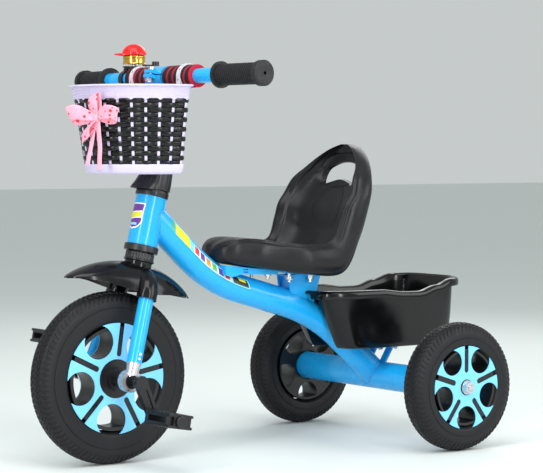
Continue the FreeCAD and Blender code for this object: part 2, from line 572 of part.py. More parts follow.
grip = along(15.0, 0, GL - 1.0).fuse([along(19.5, 0, 4.5), along(18.6, GL - 9.0, GL - 1.0), along(17.4, GL - 12.5, GL - 1.0)])
for i in range(17):
    a = 8.0 + i * 4.4
    if a + 2 < GL - 14:
        grip = grip.fuse(along(15.8, a, a + 2.4))
grip = grip.cut(Part.makeCylinder(BAR_TUBE / 2, GL - 4.5, g0 - gd * 0.5, gd))
grip = grip.fuse(Part.makeCone(18.6, 16.4, 1.8, g0 + gd * (GL - 1.0), gd)).cut(Part.makeCylinder(2.6, 12, g0 + gd * (GL - 6), gd))
grip = grip.removeSplitter()
save("grip_left", grip)
save("grip_right", mirror_x(grip))

FOAM_R = 17.0


def foam(x0, x1):
    return cylx(FOAM_R, x0, x1, HB.y, HB.z).cut(cylx(BAR_TUBE / 2, x0 - 1, x1 + 1, HB.y, HB.z))


save("foam_sleeve_left", foam(23.0, 92.0))
save("foam_sleeve_right", foam(-79.6, -22.0))

# basket straps: closed bands round the foam, hooked over the basket's back wall
BK_X, BK_BACK = 10.0, HB.y - 23.0     # basket centre line and back plane
STRAPS = (-58.0, 72.0)


def strap(xc):
    w = 4.2
    # band path in the YZ plane: round the foam, down to the basket's back wall
    ro, ri = FOAM_R + 1.9, FOAM_R + 0.3
    out = cylx(ro, xc - w, xc + w, HB.y, HB.z)
    inn = cylx(ri, xc - w, xc + w, HB.y, HB.z)
    band = out.cut(inn)
    leg1 = box(xc - w, xc + w, HB.y - ro, HB.y - ri, HB.z - 36, HB.z)
    # tab from the foot of the strap through the basket's back wall
    tab = box(xc - w, xc + w, BK_BACK - 0.4, HB.y - ri, HB.z - 36, HB.z - 33.6)
    band = band.fuse([leg1, tab])
    for k in range(4):
        band = band.cut(box(xc - 1.6, xc + 1.6, HB.y - ro - 1, HB.y - ri + 1, HB.z - 32 + 8.0 * k, HB.z - 28 + 8.0 * k))
    for a in range(100, 341, 24):
        r = math.radians(a - 90)
        c = V(xc - 1.6, HB.y + (ro + ri) / 2 * math.cos(math.radians(a)), HB.z + (ro + ri) / 2 * math.sin(math.radians(a)))
        if 10 < (a % 360) < 170:
            hb = Part.makeBox(3.2, 3.0, 4.0, V(0, -1.5, -2.0))
            hb.rotate(O, X, a)
            hb.translate(c)
            band = band.cut(hb)
    return band.removeSplitter()


save("basket_straps", group([strap(s) for s in STRAPS]))

# ---------------------------------------------------------------- basket
BA, BD, BN, BRC = 105.0, 113.0, 2.0, 8.0
BK_TOP, BK_BAND, BK_WEAVE0, BK_BOT = 560.0, 543.0, 445.0, 432.0


def dplan(a, d, n, rc, z, N=28):
    """D-shaped outline: half superellipse to the front, short corners to a flat back"""
    pts = []
    for i in range(N + 1):
        t = math.pi + math.pi * i / N
        c, s = math.cos(t), math.sin(t)
        pts.append((a * (abs(c) ** (2.0 / n)) * (1 if c >= 0 else -1), -d * abs(s) ** (2.0 / n)))
    return [V(BK_X + x, BK_BACK - rc + y, z) for x, y in pts]


def dface(off, z, back=0.0):
    """closed D wire, offset inwards by off at the given height, with the wall's draft"""
    f = (z - BK_BAND) / (BK_BAND - BK_WEAVE0)
    a = BA + 15.0 * f - off
    d = BD + 15.0 * f - off
    yb = BK_BACK - back
    yc = BK_BACK - BRC
    pts = [V(BK_X + a * math.cos(t), yc + d * math.sin(t), z) for t in [math.pi + math.pi * i / 24 for i in range(25)]]
    c = Part.BSplineCurve()
    c.interpolate(pts)
    front = c.toShape()
    r = max(2.0, BRC - off)
    pr_, pl = pts[-1], pts[0]
    yb = BK_BACK - off
    e1 = Part.Arc(pr_, V(pr_.x - r * (1 - math.cos(math.pi / 4)), pr_.y + (yb - pr_.y) * math.sin(math.pi / 4), z), V(pr_.x - r, yb, z)).toShape()
    e2 = Part.LineSegment(V(pr_.x - r, yb, z), V(pl.x + r, yb, z)).toShape()
    e3 = Part.Arc(V(pl.x + r, yb, z), V(pl.x + r * (1 - math.cos(math.pi / 4)), pl.y + (yb - pl.y) * math.sin(math.pi / 4), z), pl).toShape()
    return Part.Wire([front, e1, e2, e3])


def dsolid(off0, z0, off1, z1):
    return loft([dface(off0, z0), dface(off1, z1)], True)


# rim band, bottom tray, and the vertical staves
band = dsolid(0, BK_BAND, 0, BK_TOP).cut(dsolid(2.6, BK_BAND - 1, 2.6, BK_TOP + 1))
flare = dsolid(0, BK_TOP - 4.0, -5.5, BK_TOP).cut(dsolid(2.0, BK_TOP - 4.5, 2.0, BK_TOP + 1))
flare = flare.cut(box(-200, 200, BK_BACK, 0, 500, 600))
tray = dsolid(3.0, BK_BOT, 0.0, BK_WEAVE0).cut(dsolid(3.2, BK_BOT + 2.5, 3.0, BK_WEAVE0 + 1))
NST = 26
wall_out = dsolid(2.2, BK_WEAVE0 - 3, 2.2, BK_BAND + 3)
wall_in = dsolid(4.4, BK_WEAVE0 - 3.5, 4.4, BK_BAND + 3.5)
wall = wall_out.cut(wall_in)
ref = dface(3.3, (BK_WEAVE0 + BK_BAND) / 2)
plist = ref.discretize(Number=NST + 1)[:-1]
staves = []
for i, p in enumerate(plist):
    # stave runs straight up the drafted wall at this point of the outline
    lo = dface(3.3, BK_WEAVE0 - 2).discretize(Number=NST + 1)[i]
    hi = dface(3.3, BK_BAND + 2).discretize(Number=NST + 1)[i]
    nxt = ref.discretize(Number=20 * NST + 1)[(20 * i + 1) % (20 * NST)]
    tan = (nxt - p)
    tan.z = 0
    tan.normalize()
    nor = V(tan.y, -tan.x, 0)
    hw, ht = 2.5, 1.1
    w0 = Part.makePolygon([lo + tan * hw + nor * ht, lo - tan * hw + nor * ht, lo - tan * hw - nor * ht, lo + tan * hw - nor * ht, lo + tan * hw + nor * ht])
    w1 = Part.makePolygon([hi + tan * hw + nor * ht, hi - tan * hw + nor * ht, hi - tan * hw - nor * ht, hi + tan * hw - nor * ht, hi + tan * hw + nor * ht])
    staves.append(loft([w0, w1], True))
frame = band.fuse([flare, tray] + staves)
frame = frame.cut(dsolid(4.6, BK_BOT + 2.5, 4.6, BK_TOP + 3))
frame = frame.removeSplitter()
save("basket_frame", sorted(frame.Solids, key=lambda s: s.Volume)[-1])

# woven courses: one closed wall just outside the staves
weave = dsolid(0.7, BK_WEAVE0 + 0.35, 0.7, BK_BAND - 0.35).cut(dsolid(2.1, BK_WEAVE0 + 0.2, 2.1, BK_BAND - 0.2))
save("basket_weave", weave)

# ribbon bow on the front of the basket, a plain closed solid


def bow_solid():
    # where the knot sits on the weave, and the outward direction there
    a0 = math.radians(291)
    px = BK_X + (BA + 6.0) * math.cos(a0)
    py = BK_BACK - BRC + (BD + 6.0) * math.sin(a0)
    return V(px, py, 514.0), V(math.cos(a0) / BA, math.sin(a0) / BD, 0).normalize()


bow_c, bow_n = bow_solid()
bow_t = V(-bow_n.y, bow_n.x, 0)


def bslab(u0, u1, z0, z1, n0, n1):
    b = Part.makeBox(u1 - u0, n1 - n0, z1 - z0, V(u0, n0, z0))
    m = FreeCAD.Matrix(bow_t.x, bow_n.x, 0, bow_c.x, bow_t.y, bow_n.y, 0, bow_c.y, 0, 0, 1, bow_c.z, 0, 0, 0, 1)
    return b.transformGeometry(m)


bow = bslab(-40, 40, -26, 34, 0.6, 22).fuse([bslab(-17, -5, -70, -20, 0.6, 6), bslab(1, 11, -76, -20, 0.6, 6)]).removeSplitter()
save("ribbon_bow", bow)

# ---------------------------------------------------------------- bell
BELL_X = -98.0
BC = V(-92.0, HB.y + 9.0, HB.z)
bz = HB.z + 16.5
clamp = cylx(14.0, BELL_X - 4.5, BELL_X + 4.5, HB.y, HB.z).cut(cylx(BAR_TUBE / 2, BELL_X - 10, BELL_X + 10, HB.y, HB.z))
ped = box(BC.x - 12, BC.x + 12, BC.y - 11, BC.y + 11, HB.z + 8, bz + 2.0).cut(cylx(12.2, -140, -50, HB.y, HB.z))
ped2 = box(BELL_X - 4.5, BELL_X + 4.5, HB.y - 4, BC.y + 4, HB.z + 9, bz)
disc = cyl(18.0, 1.6, V(BC.x, BC.y, bz + 2.0))
bell_base = clamp.fuse([ped, ped2.cut(cylx(BAR_TUBE / 2, -140, -50, HB.y, HB.z)), disc])
LEV_P = V(BC.x + 13.0, BC.y + 12.0, bz + 2.0)
bell_base = bell_base.cut(cyl(2.0 + FIT, 20, V(LEV_P.x, LEV_P.y, bz - 3)))
bell_base = sorted(bell_base.Solids, key=lambda s: s.Volume)[-1].removeSplitter()
dome_z = bz + 6.5


def revolve_at(profile, c):
    s = revolve_z(profile)
    s.translate(c)
    return s


dome = revolve_at([(17.3, 0.4), (17.3, 13.0), (15.0, 14.5), (0.0, 14.5), (0.0, 13.2), (14.4, 13.2), (16.0, 12.2), (16.0, 0.4)], V(BC.x, BC.y, dome_z))
cap_pts = [(0.0, 31.5)]
for i in range(9):
    a = math.radians(10 * i + 8)
    cap_pts.append((19.0 * math.sin(a), 14.6 + 17.0 * math.cos(a)))
cap_pts += [(19.2, 14.8), (0.0, 14.8)]
cap = revolve_at(cap_pts, V(BC.x, BC.y, dome_z))
peak = cyl(17.0, 2.4, V(BC.x, BC.y - 19.0, dome_z + 15.2)).common(box(BC.x - 13.5, BC.x + 13.5, BC.y - 60, BC.y, 500, 700)).cut(cyl(15.0, 6, V(BC.x, BC.y, dome_z + 14)))
cap = cap.fuse(peak)
cap = sorted(cap.Solids, key=lambda s: s.Volume)[-1].removeSplitter()
save("bell_base", bell_base)
save("bell_dome", dome)
save("bell_cap", cap)
post = cyl(3.0, 16.1, V(BC.x, BC.y, bz + 3.6))
save("bell_post", post)
lever = cyl(4.5, 2.2, V(LEV_P.x, LEV_P.y, bz + 4.0)).fuse(cyl(2.0, 8.0, V(LEV_P.x, LEV_P.y, bz - 2.5)))
arm = box(0, 15, -2.2, 2.2, 0, 2.2)
arm.rotate(O, Z, 62)
arm.translate(V(LEV_P.x, LEV_P.y, bz + 4.0))
pad = cyl(5.5, 7.0, V(LEV_P.x + 16 * math.cos(math.radians(62)), LEV_P.y + 16 * math.sin(math.radians(62)), bz + 4.0))
lever = lever.fuse([arm, pad]).removeSplitter()
save("bell_lever", lever)

# ---------------------------------------------------------------- wheels


def tyre(R, W, r_face, r_seat, y, z):
    h = W / 2
    prof = [(-h + 1.6, r_seat), (h - 1.6, r_seat), (h - 1.6, r_face + 0.6), (h - 0.4, r_face + 0.8), (h, r_face + 6), (h, R - 16), (h - 1.2, R - 10), (h - 4, R - 5.0),
            (h - 9, R - 1.6), (h - 14, R - 0.4), (0, R)]
    left = [(-x, r) for x, r in reversed(prof[2:-1])]
    return revolve_x(prof + left, y, z)


def wheel_cutters(R_face, r_w, rad_w, phase, x0, x1, y, z, lim=None):
    out = []
    for i in range(5):
        a = math.radians(phase + 72 * i)
        c = cylx(r_w, x0, x1, y + rad_w * math.cos(a), z + rad_w * math.sin(a))
        if lim:
            c = c.common(cylx(lim, x0, x1, y, z))
        out.append(c)
    return out


def slot_cutters(w, r0, r1, phase, x0, x1, y, z):
    out = []
    for i in range(5):
        a = phase + 72 * i
        b = Part.makeBox(x1 - x0, r1 - r0 - w / 2, w, V(x0, r0 + w / 2, -w / 2))
        b = b.fuse(cylx(w / 2, x0, x1, r0 + w / 2, 0))
        b.rotate(O, X, a)
        b.translate(V(0, y, z))
        out.append(b)
    return out


def wheel(R, W, r_face, r_win, rad_win, slot_w, slot_r0, phase_w, phase_s, y, z, boss_r, bore, lim, both, boss_out=2.5):
    """returns tyre, hub, outer face plate, inner face plate at x = 0"""
    r_seat = r_face - 5.0
    t = tyre(R, W, r_face, r_seat, y, z)
    h = W / 2 - 1.6
    hub = cylx(r_seat, -h, h, y, z)
    cuts = wheel_cutters(r_face, r_win, rad_win, phase_w, -h - 1, h + 1, y, z, lim)
    for c in cuts:
        hub = hub.cut(c)
    hub = hub.fuse(cylx(boss_r, h, h + 1.5 + boss_out, y, z))
    hub = hub.cut(cylx(bore, -h - 30, h + 30, y, z))
    # weight-saving recess between the spokes on the mid plane
    plate = cylx(r_face, h, h + 1.5, y, z)
    for c in wheel_cutters(r_face, r_win, rad_win, phase_w, h - 1, h + 4, y, z):
        plate = plate.cut(c)
    for c in slot_cutters(slot_w, slot_r0, r_face + 5, phase_s, h - 1, h + 4, y, z):
        plate = plate.cut(c)
    plate = plate.cut(cylx(boss_r, h - 1, h + 5, y, z))
    return t, hub, plate


def place(s, dx, flip=False):
    s = mirror_x(s) if flip else s.copy()
    s.translate(V(dx, 0, 0))
    return s


# rear wheels
RB = AXLE_ROD / 2 + 3.0
t, hub, plate = wheel(REAR_R, REAR_W, 64.3, 19.5, 48.6, 8.6, 22.7, -90, 90, REAR_AXLE_Y, REAR_R, 12.4, RB, 55.5, False, -0.5)
h_r = REAR_W / 2 - 1.6
# recess on the inner side that swallows the end of the axle tube
rec = cylx(25.5, -h_r - 1, -h_r + 7.5, REAR_AXLE_Y, REAR_R)
hub_r = hub.cut(rec).fuse(cylx(RB + 4.0, -h_r + 5.6, -h_r + 8.5, REAR_AXLE_Y, REAR_R)).cut(cylx(RB, -40, 40, REAR_AXLE_Y, REAR_R)).removeSplitter()
bushx = cylx(RB, -h_r + 5.6, 20.9, REAR_AXLE_Y, REAR_R).cut(cylx(AXLE_ROD / 2 + FIT, -40, 40, REAR_AXLE_Y, REAR_R))
for side, dx, flip in (("left", TRACK / 2, False), ("right", -TRACK / 2, True)):
    save("rear_tyre_" + side, place(t, dx, flip))
    save("rear_hub_" + side, place(hub_r, dx, flip))
    save("rear_face_" + side, place(plate, dx, flip))
    save("rear_bush_" + side, place(bushx, dx, flip))

# front wheel, both faces coloured, keyed to the crank axle
t, hub, plate = wheel(FRONT_R, FRONT_W, 82.7, 25.0, 62.5, 8.4, 33.0, -98, 82, FRONT_AXLE_Y, FRONT_R, 29.0, FRONT_ROD / 2, 72.5, True, 0.0)
h_f = FRONT_W / 2 - 1.6
hub_f = hub.fuse(cylx(29.0, -h_f - 1.5, -h_f, FRONT_AXLE_Y, FRONT_R))
for sgn in (1, -1):
    a, b = (h_f + 1.5, h_f + 9.0) if sgn > 0 else (-h_f - 9.0, -h_f - 1.5)
    hub_f = hub_f.fuse(cylx(17.0, a, b, FRONT_AXLE_Y, FRONT_R))
    a, b = (h_f + 9.0, 48.5) if sgn > 0 else (-48.5, -h_f - 9.0)
    hub_f = hub_f.fuse(cylx(11.0, a, b, FRONT_AXLE_Y, FRONT_R))
hub_f = hub_f.cut(cylx(FRONT_ROD / 2, -80, 80, FRONT_AXLE_Y, FRONT_R)).removeSplitter()
save("front_tyre", t)
save("front_hub", hub_f)
save("front_face_left", plate)
save("front_face_right", mirror_x(plate))

# crank axle with bent arms and pedal spindles, one forging
ca = math.radians(CRANK_ANGLE)
ARM_X = 88.0


def crank(sgn):
    d = V(0, math.sin(ca), -math.cos(ca)) * sgn
    ctr = V(0, FRONT_AXLE_Y, FRONT_R)
    end = ctr + d * CRANK_LEN
    x1 = sgn * ARM_X
    # the arm narrows towards the pedal
    a0 = cylx(10.5, x1 - 4.5, x1 + 4.5, ctr.y, ctr.z)
    a1 = cylx(9.0, x1 - 4.5, x1 + 4.5, end.y, end.z)
    nrm = V(0, d.z, -d.y).normalize()
    q1, q2, q3, q4 = ctr + nrm * 9.5, ctr - nrm * 9.5, end - nrm * 8.0, end + nrm * 8.0
    w = Part.makePolygon([V(x1 - 4.5, p.y, p.z) for p in (q1, q2, q3, q4, q1)])
    web = Part.Face(w).extrude(V(9.0, 0, 0))
    groove_pts = [ctr + d * 12 + nrm * 4.2, ctr + d * 12 - nrm * 4.2, end - d * 11 - nrm * 3.4, end - d * 11 + nrm * 3.4]
    gx = x1 + 2.5 if sgn > 0 else x1 - 5.5
    gw = Part.Face(Part.makePolygon([V(gx, p.y, p.z) for p in groove_pts + [groove_pts[0]]])).extrude(V(3.0, 0, 0))
    arm = a0.fuse([a1, web]).cut(gw)
    lo2, hi2 = sorted((x1, sgn * 163.6))
    spin = cylx(5.0, lo2, hi2, end.y, end.z)
    return arm, spin, end


armL, spinL, endL = crank(1)
armR, spinR, endR = crank(-1)
rod_f = cylx(FRONT_ROD / 2, -ARM_X, ARM_X, FRONT_AXLE_Y, FRONT_R)
axle = rod_f.fuse([armL, spinL, armR, spinR]).removeSplitter()
save("crank_axle", axle)

# pedals
PX0, PX1, PW, PT = 99.0, 161.0, 42.0, 21.0
PITCH = 10.0


def pedal(end, flip):
    b = box(PX0, PX1, -PW / 2, PW / 2, -PT / 2, PT / 2)
    b = b.makeFillet(2.0, [e for e in b.Edges if abs(e.tangentAt(e.FirstParameter).x) > 0.9])
    # through windows front to back and top to bottom, leaving bars, end blocks and the spindle boss
    for s in (-1, 1):
        y0, y1 = sorted((s * 9.5, s * (PW / 2 - 5.5)))
        b = b.cut(box(PX0 + 9, PX1 - 9, y0, y1, -PT, PT))
    b = b.cut(box(PX0 + 9, PX1 - 9, -PW, -9.5, -4.2, 4.2)).cut(box(PX0 + 9, PX1 - 9, 9.5, PW, -4.2, 4.2))
    for s in (-1, 1):
        y0, y1 = sorted((s * 11.5, s * (PW / 2 + 1)))
        b = b.cut(box(PX1 - 4.5, PX1 + 1, y0, y1 if s > 0 else y1, -6.5, 6.5))
    for i in range(5):
        xx = PX0 + 8 + i * 10.5
        for zz in (PT / 2 - 1.0, -PT / 2 - 1.0):
            b = b.cut(box(xx, xx + 3.0, -PW, -PW / 2 + 4.5, zz, zz + 2.0)).cut(box(xx, xx + 3.0, PW / 2 - 4.5, PW, zz, zz + 2.0))
    b = b.cut(cylx(5.0 + FIT, PX0 - 5, PX1 + 5, 0, 0))
    b = b.removeSplitter()
    b.rotate(O, X, -PITCH)
    if flip:
        b = mirror_x(b)
    b.translate(V(0, end.y, end.z))
    return b


def pedal_cap(end, flip):
    c = cylx(8.5, PX1 + 0.4, PX1 + 4.2, 0, 0)
    c = c.makeFillet(1.5, [e for e in c.Edges if e.Curve.TypeId == "Part::GeomCircle" and abs(e.valueAt(0).x - (PX1 + 4.2)) < 0.01])
    c = c.cut(cylx(5.0, PX1, PX1 + 2.6, 0, 0))
    if flip:
        c = mirror_x(c)
    c.translate(V(0, end.y, end.z))
    return c


save("pedal_left", pedal(endL, False))
save("pedal_right", pedal(endR, True))
capL, capR = pedal_cap(endL, False), pedal_cap(endR, True)
save("spindle_caps", group([capL, capR]))

allb = Part.makeCompound([s for _, s in made]).BoundBox
print("BOX x %.2f..%.2f y %.2f..%.2f z %.2f..%.2f  centre y %.3f" % (allb.XMin, allb.XMax, allb.YMin, allb.YMax, allb.ZMin, allb.ZMax, (allb.YMin + allb.YMax) / 2))
print(len(made), "nodes")
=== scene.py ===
import bpy, bmesh, math
import numpy as np
from mathutils import Vector, Matrix


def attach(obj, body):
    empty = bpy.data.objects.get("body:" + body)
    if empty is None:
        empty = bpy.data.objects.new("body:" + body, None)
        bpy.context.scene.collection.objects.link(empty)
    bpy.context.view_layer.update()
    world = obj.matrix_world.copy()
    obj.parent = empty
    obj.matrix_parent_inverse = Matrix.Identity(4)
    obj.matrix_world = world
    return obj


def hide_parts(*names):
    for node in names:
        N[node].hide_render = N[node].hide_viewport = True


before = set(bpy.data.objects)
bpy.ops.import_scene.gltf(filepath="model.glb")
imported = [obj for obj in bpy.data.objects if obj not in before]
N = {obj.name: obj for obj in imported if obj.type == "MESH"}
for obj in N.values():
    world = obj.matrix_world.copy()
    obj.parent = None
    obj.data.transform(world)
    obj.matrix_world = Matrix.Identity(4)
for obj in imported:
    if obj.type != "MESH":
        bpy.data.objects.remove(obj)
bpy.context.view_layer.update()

# ------------------------------------------------------------------ numbers shared with the CAD (mm)
RY = 254.88
FY = RY - 510.0
FR, RR = 129.0, 100.0
DY = RY - 239.0
RAKE = math.radians(13.6)
AY, AZ = FY + 11.1, FR


def steer(p):
    x, y, z = p
    return np.array([x, AY + y * math.cos(RAKE) + z * math.sin(RAKE), AZ - y * math.sin(RAKE) + z * math.cos(RAKE)])


def steer_dir(p):
    return steer(p) - steer((0, 0, 0))


HB = steer((0, -23.8, 454.4))

# ------------------------------------------------------------------ materials


def srgb(r, g, b):
    f = lambda c: (c / 255 / 12.92) if c / 255 <= 0.04045 else ((c / 255 + 0.055) / 1.055) ** 2.4
    return (f(r), f(g), f(b), 1.0)


def pbr(name, col, rough=0.4, metallic=0.0, coat=0.0, coat_rough=0.05, scale=60.0, bump=0.02, rvar=0.08, cvar=0.06,
        fine=900.0, fbump=0.0, spec=0.5, sheen=0.0, streak=None):
    m = bpy.data.materials.new(name)
    m.use_nodes = True
    nt = m.node_tree
    b = nt.nodes["Principled BSDF"]
    tc = nt.nodes.new("ShaderNodeTexCoord")
    src = tc.outputs["Object"]
    if streak:
        mp = nt.nodes.new("ShaderNodeMapping")
        mp.inputs["Scale"].default_value = streak
        nt.links.new(src, mp.inputs["Vector"])
        src = mp.outputs["Vector"]
    n1 = nt.nodes.new("ShaderNodeTexNoise")
    n1.inputs["Scale"].default_value = scale
    n1.inputs["Detail"].default_value = 5
    nt.links.new(src, n1.inputs["Vector"])
    n2 = nt.nodes.new("ShaderNodeTexNoise")
    n2.inputs["Scale"].default_value = fine
    n2.inputs["Detail"].default_value = 3
    nt.links.new(tc.outputs["Object"], n2.inputs["Vector"])
    mr = nt.nodes.new("ShaderNodeMapRange")
    mr.inputs["From Min"].default_value = 0.3
    mr.inputs["From Max"].default_value = 0.7
    mr.inputs["To Min"].default_value = max(0.02, rough - rvar)
    mr.inputs["To Max"].default_value = min(1.0, rough + rvar)
    nt.links.new(n1.outputs["Fac"], mr.inputs["Value"])
    nt.links.new(mr.outputs["Result"], b.inputs["Roughness"])
    mx = nt.nodes.new("ShaderNodeMix")
    mx.data_type = "RGBA"
    c = srgb(*col)
    mx.inputs[6].default_value = (c[0] * (1 - cvar), c[1] * (1 - cvar), c[2] * (1 - cvar), 1)
    mx.inputs[7].default_value = (min(1, c[0] * (1 + cvar)), min(1, c[1] * (1 + cvar)), min(1, c[2] * (1 + cvar)), 1)
    nt.links.new(n1.outputs["Fac"], mx.inputs[0])
    nt.links.new(mx.outputs[2], b.inputs["Base Color"])
    b.inputs["Metallic"].default_value = metallic
    b.inputs["Specular IOR Level"].default_value = spec
    if coat:
        b.inputs["Coat Weight"].default_value = coat
        b.inputs["Coat Roughness"].default_value = coat_rough
    if sheen:
        b.inputs["Sheen Weight"].default_value = sheen
    add = nt.nodes.new("ShaderNodeMath")
    add.operation = "MULTIPLY_ADD"
    nt.links.new(n2.outputs["Fac"], add.inputs[0])
    add.inputs[1].default_value = fbump
    nt.links.new(n1.outputs["Fac"], add.inputs[2])
    bp = nt.nodes.new("ShaderNodeBump")
    bp.inputs["Strength"].default_value = 1.0
    bp.inputs["Distance"].default_value = bump / 1000.0
    nt.links.new(add.outputs[0], bp.inputs["Height"])
    nt.links.new(bp.outputs["Normal"], b.inputs["Normal"])
    m["out"] = 1
    return m


M = {}
M["blue"] = pbr("blue_paint", (28, 166, 236), rough=0.25, spec=0.35, coat=0.25, coat_rough=0.04, scale=45, bump=0.012, rvar=0.05, cvar=0.03, fine=1500, fbump=0.15)
M["ltblue"] = pbr("light_blue_face", (122, 203, 249), rough=0.38, spec=0.3, scale=70, bump=0.02, rvar=0.06, cvar=0.03, fine=1200, fbump=0.3)
M["tyre"] = pbr("tyre_foam", (21, 21, 23), rough=0.52, scale=90, bump=0.05, rvar=0.1, cvar=0.18, fine=1600, fbump=0.7, spec=0.3)
M["hub"] = pbr("hub_black", (18, 18, 20), rough=0.34, scale=60, bump=0.03, rvar=0.1, cvar=0.15, fine=1300, fbump=0.5)
M["seat"] = pbr("seat_plastic", (20, 20, 23), rough=0.37, scale=28, bump=0.06, rvar=0.07, cvar=0.1, fine=1700, fbump=0.4, spec=0.3)
M["gloss"] = pbr("gloss_black", (9, 9, 11), rough=0.18, spec=0.36, scale=22, bump=0.03, rvar=0.08, cvar=0.12, fine=900, fbump=0.2)
M["collar"] = pbr("collar_black", (24, 24, 27), rough=0.36, scale=50, bump=0.03, rvar=0.08, cvar=0.12, fine=1100, fbump=0.4)
M["grip"] = pbr("grip_rubber", (17, 17, 19), rough=0.58, scale=120, bump=0.06, rvar=0.1, cvar=0.15, fine=1500, fbump=0.9)
M["steel"] = pbr("zinc_steel", (205, 207, 210), rough=0.27, metallic=1.0, scale=160, bump=0.02, rvar=0.1, cvar=0.06, fine=1800, fbump=0.4)
M["cast"] = pbr("cast_silver", (205, 203, 208), rough=0.34, metallic=0.85, scale=220, bump=0.05, rvar=0.1, cvar=0.05, fine=1500, fbump=0.8)
M["dark"] = pbr("dark_steel", (24, 24, 27), rough=0.33, metallic=0.4, coat=0.3, coat_rough=0.12, scale=240, bump=0.08, rvar=0.12, cvar=0.15, fine=1300, fbump=0.6)
M["lilac"] = pbr("lilac_plastic", (200, 191, 220), rough=0.42, scale=60, bump=0.04, rvar=0.06, cvar=0.03, fine=700, fbump=0.8)
M["strip"] = pbr("strip_black", (9, 9, 11), rough=0.27, spec=0.35, scale=60, bump=0.012, rvar=0.05, cvar=0.12, fine=900, fbump=0.2)
M["strap"] = pbr("strap_white", (212, 210, 220), rough=0.4, scale=90, bump=0.03, rvar=0.06, cvar=0.03, fine=900, fbump=0.4)
M["brass"] = pbr("bell_brass", (222, 176, 84), rough=0.2, metallic=1.0, scale=70, bump=0.05, rvar=0.08, cvar=0.08, fine=900, fbump=0.2)
M["red"] = pbr("cap_red", (226, 22, 22), rough=0.3, spec=0.3, coat=0.12, coat_rough=0.1, scale=50, bump=0.03, rvar=0.06, cvar=0.05, fine=1100, fbump=0.2)
M["weld"] = pbr("weld_paint", (30, 150, 222), rough=0.3, coat=0.5, coat_rough=0.1, scale=400, bump=0.25, rvar=0.1, cvar=0.05, fine=1500, fbump=0.4)


def link_col(m, fn):
    """replaces the base colour with what fn(node_tree, tex_coord) gives"""
    nt = m.node_tree
    tc = [n for n in nt.nodes if n.type == "TEX_COORD"][0]
    out = fn(nt, tc)
    for l in list(nt.nodes["Principled BSDF"].inputs["Base Color"].links):
        nt.links.remove(l)
    nt.links.new(out, nt.nodes["Principled BSDF"].inputs["Base Color"])


def math_node(nt, op, a, b=None, c=None):
    n = nt.nodes.new("ShaderNodeMath")
    n.operation = op
    for i, v in enumerate((a, b, c)):
        if v is None:
            continue
        if isinstance(v, (int, float)):
            n.inputs[i].default_value = v
        else:
            nt.links.new(v, n.inputs[i])
    return n.outputs[0]


def foam_stripes(nt, tc):
    sp = nt.nodes.new("ShaderNodeSeparateXYZ")
    nt.links.new(tc.outputs["Object"], sp.inputs[0])
    dy = math_node(nt, "SUBTRACT", sp.outputs["Y"], HB[1] / 1000)
    dz = math_node(nt, "SUBTRACT", sp.outputs["Z"], HB[2] / 1000)
    ang = math_node(nt, "ARCTAN2", dz, dy)
    turn = math_node(nt, "MULTIPLY", ang, 1 / (2 * math.pi))
    pos = math_node(nt, "MULTIPLY_ADD", sp.outputs["X"], 1000 / 15.0, turn)
    noi = nt.nodes.new("ShaderNodeTexNoise")
    noi.inputs["Scale"].default_value = 500
    nt.links.new(tc.outputs["Object"], noi.inputs["Vector"])
    pos = math_node(nt, "MULTIPLY_ADD", noi.outputs["Fac"], 0.06, pos)
    fr = math_node(nt, "FRACT", pos)
    stripe = math_node(nt, "LESS_THAN", fr, 0.30)
    mx = nt.nodes.new("ShaderNodeMix")
    mx.data_type = "RGBA"
    nt.links.new(stripe, mx.inputs[0])
    mx.inputs[6].default_value = srgb(33, 31, 34)
    mx.inputs[7].default_value = srgb(176, 20, 48)
    return mx.outputs[2]


M["foam"] = pbr("foam_striped", (33, 31, 34), rough=0.82, scale=260, bump=0.35, rvar=0.08, cvar=0.1, fine=1400, fbump=0.9, spec=0.3)
link_col(M["foam"], foam_stripes)
M["foam_end"] = pbr("foam_red", (180, 22, 52), rough=0.82, scale=260, bump=0.35, rvar=0.08, cvar=0.1, fine=1400, fbump=0.9, spec=0.3)


def ribbon_cols(nt, tc):
    # a fine weave and small scattered red spots on pink satin
    vo = nt.nodes.new("ShaderNodeTexVoronoi")
    vo.inputs["Scale"].default_value = 150.0
    vo.inputs["Randomness"].default_value = 0.85
    nt.links.new(tc.outputs["Object"], vo.inputs["Vector"])
    sep = nt.nodes.new("ShaderNodeSeparateColor")
    nt.links.new(vo.outputs["Color"], sep.inputs[0])
    rad = math_node(nt, "MULTIPLY_ADD", sep.outputs[0], 0.2, 0.22)
    spot = math_node(nt, "LESS_THAN", vo.outputs["Distance"], rad)
    keep = math_node(nt, "GREATER_THAN", sep.outputs[1], 0.5)
    fac = math_node(nt, "MULTIPLY", spot, keep)
    noi = nt.nodes.new("ShaderNodeTexNoise")
    noi.inputs["Scale"].default_value = 60
    nt.links.new(tc.outputs["Object"], noi.inputs["Vector"])
    base = nt.nodes.new("ShaderNodeMix")
    base.data_type = "RGBA"
    nt.links.new(noi.outputs["Fac"], base.inputs[0])
    base.inputs[6].default_value = srgb(244, 140, 168)
    base.inputs[7].default_value = srgb(252, 176, 194)
    mx = nt.nodes.new("ShaderNodeMix")
    mx.data_type = "RGBA"
    nt.links.new(fac, mx.inputs[0])
    nt.links.new(base.outputs[2], mx.inputs[6])
    mx.inputs[7].default_value = srgb(222, 30, 46)
    return mx.outputs[2]


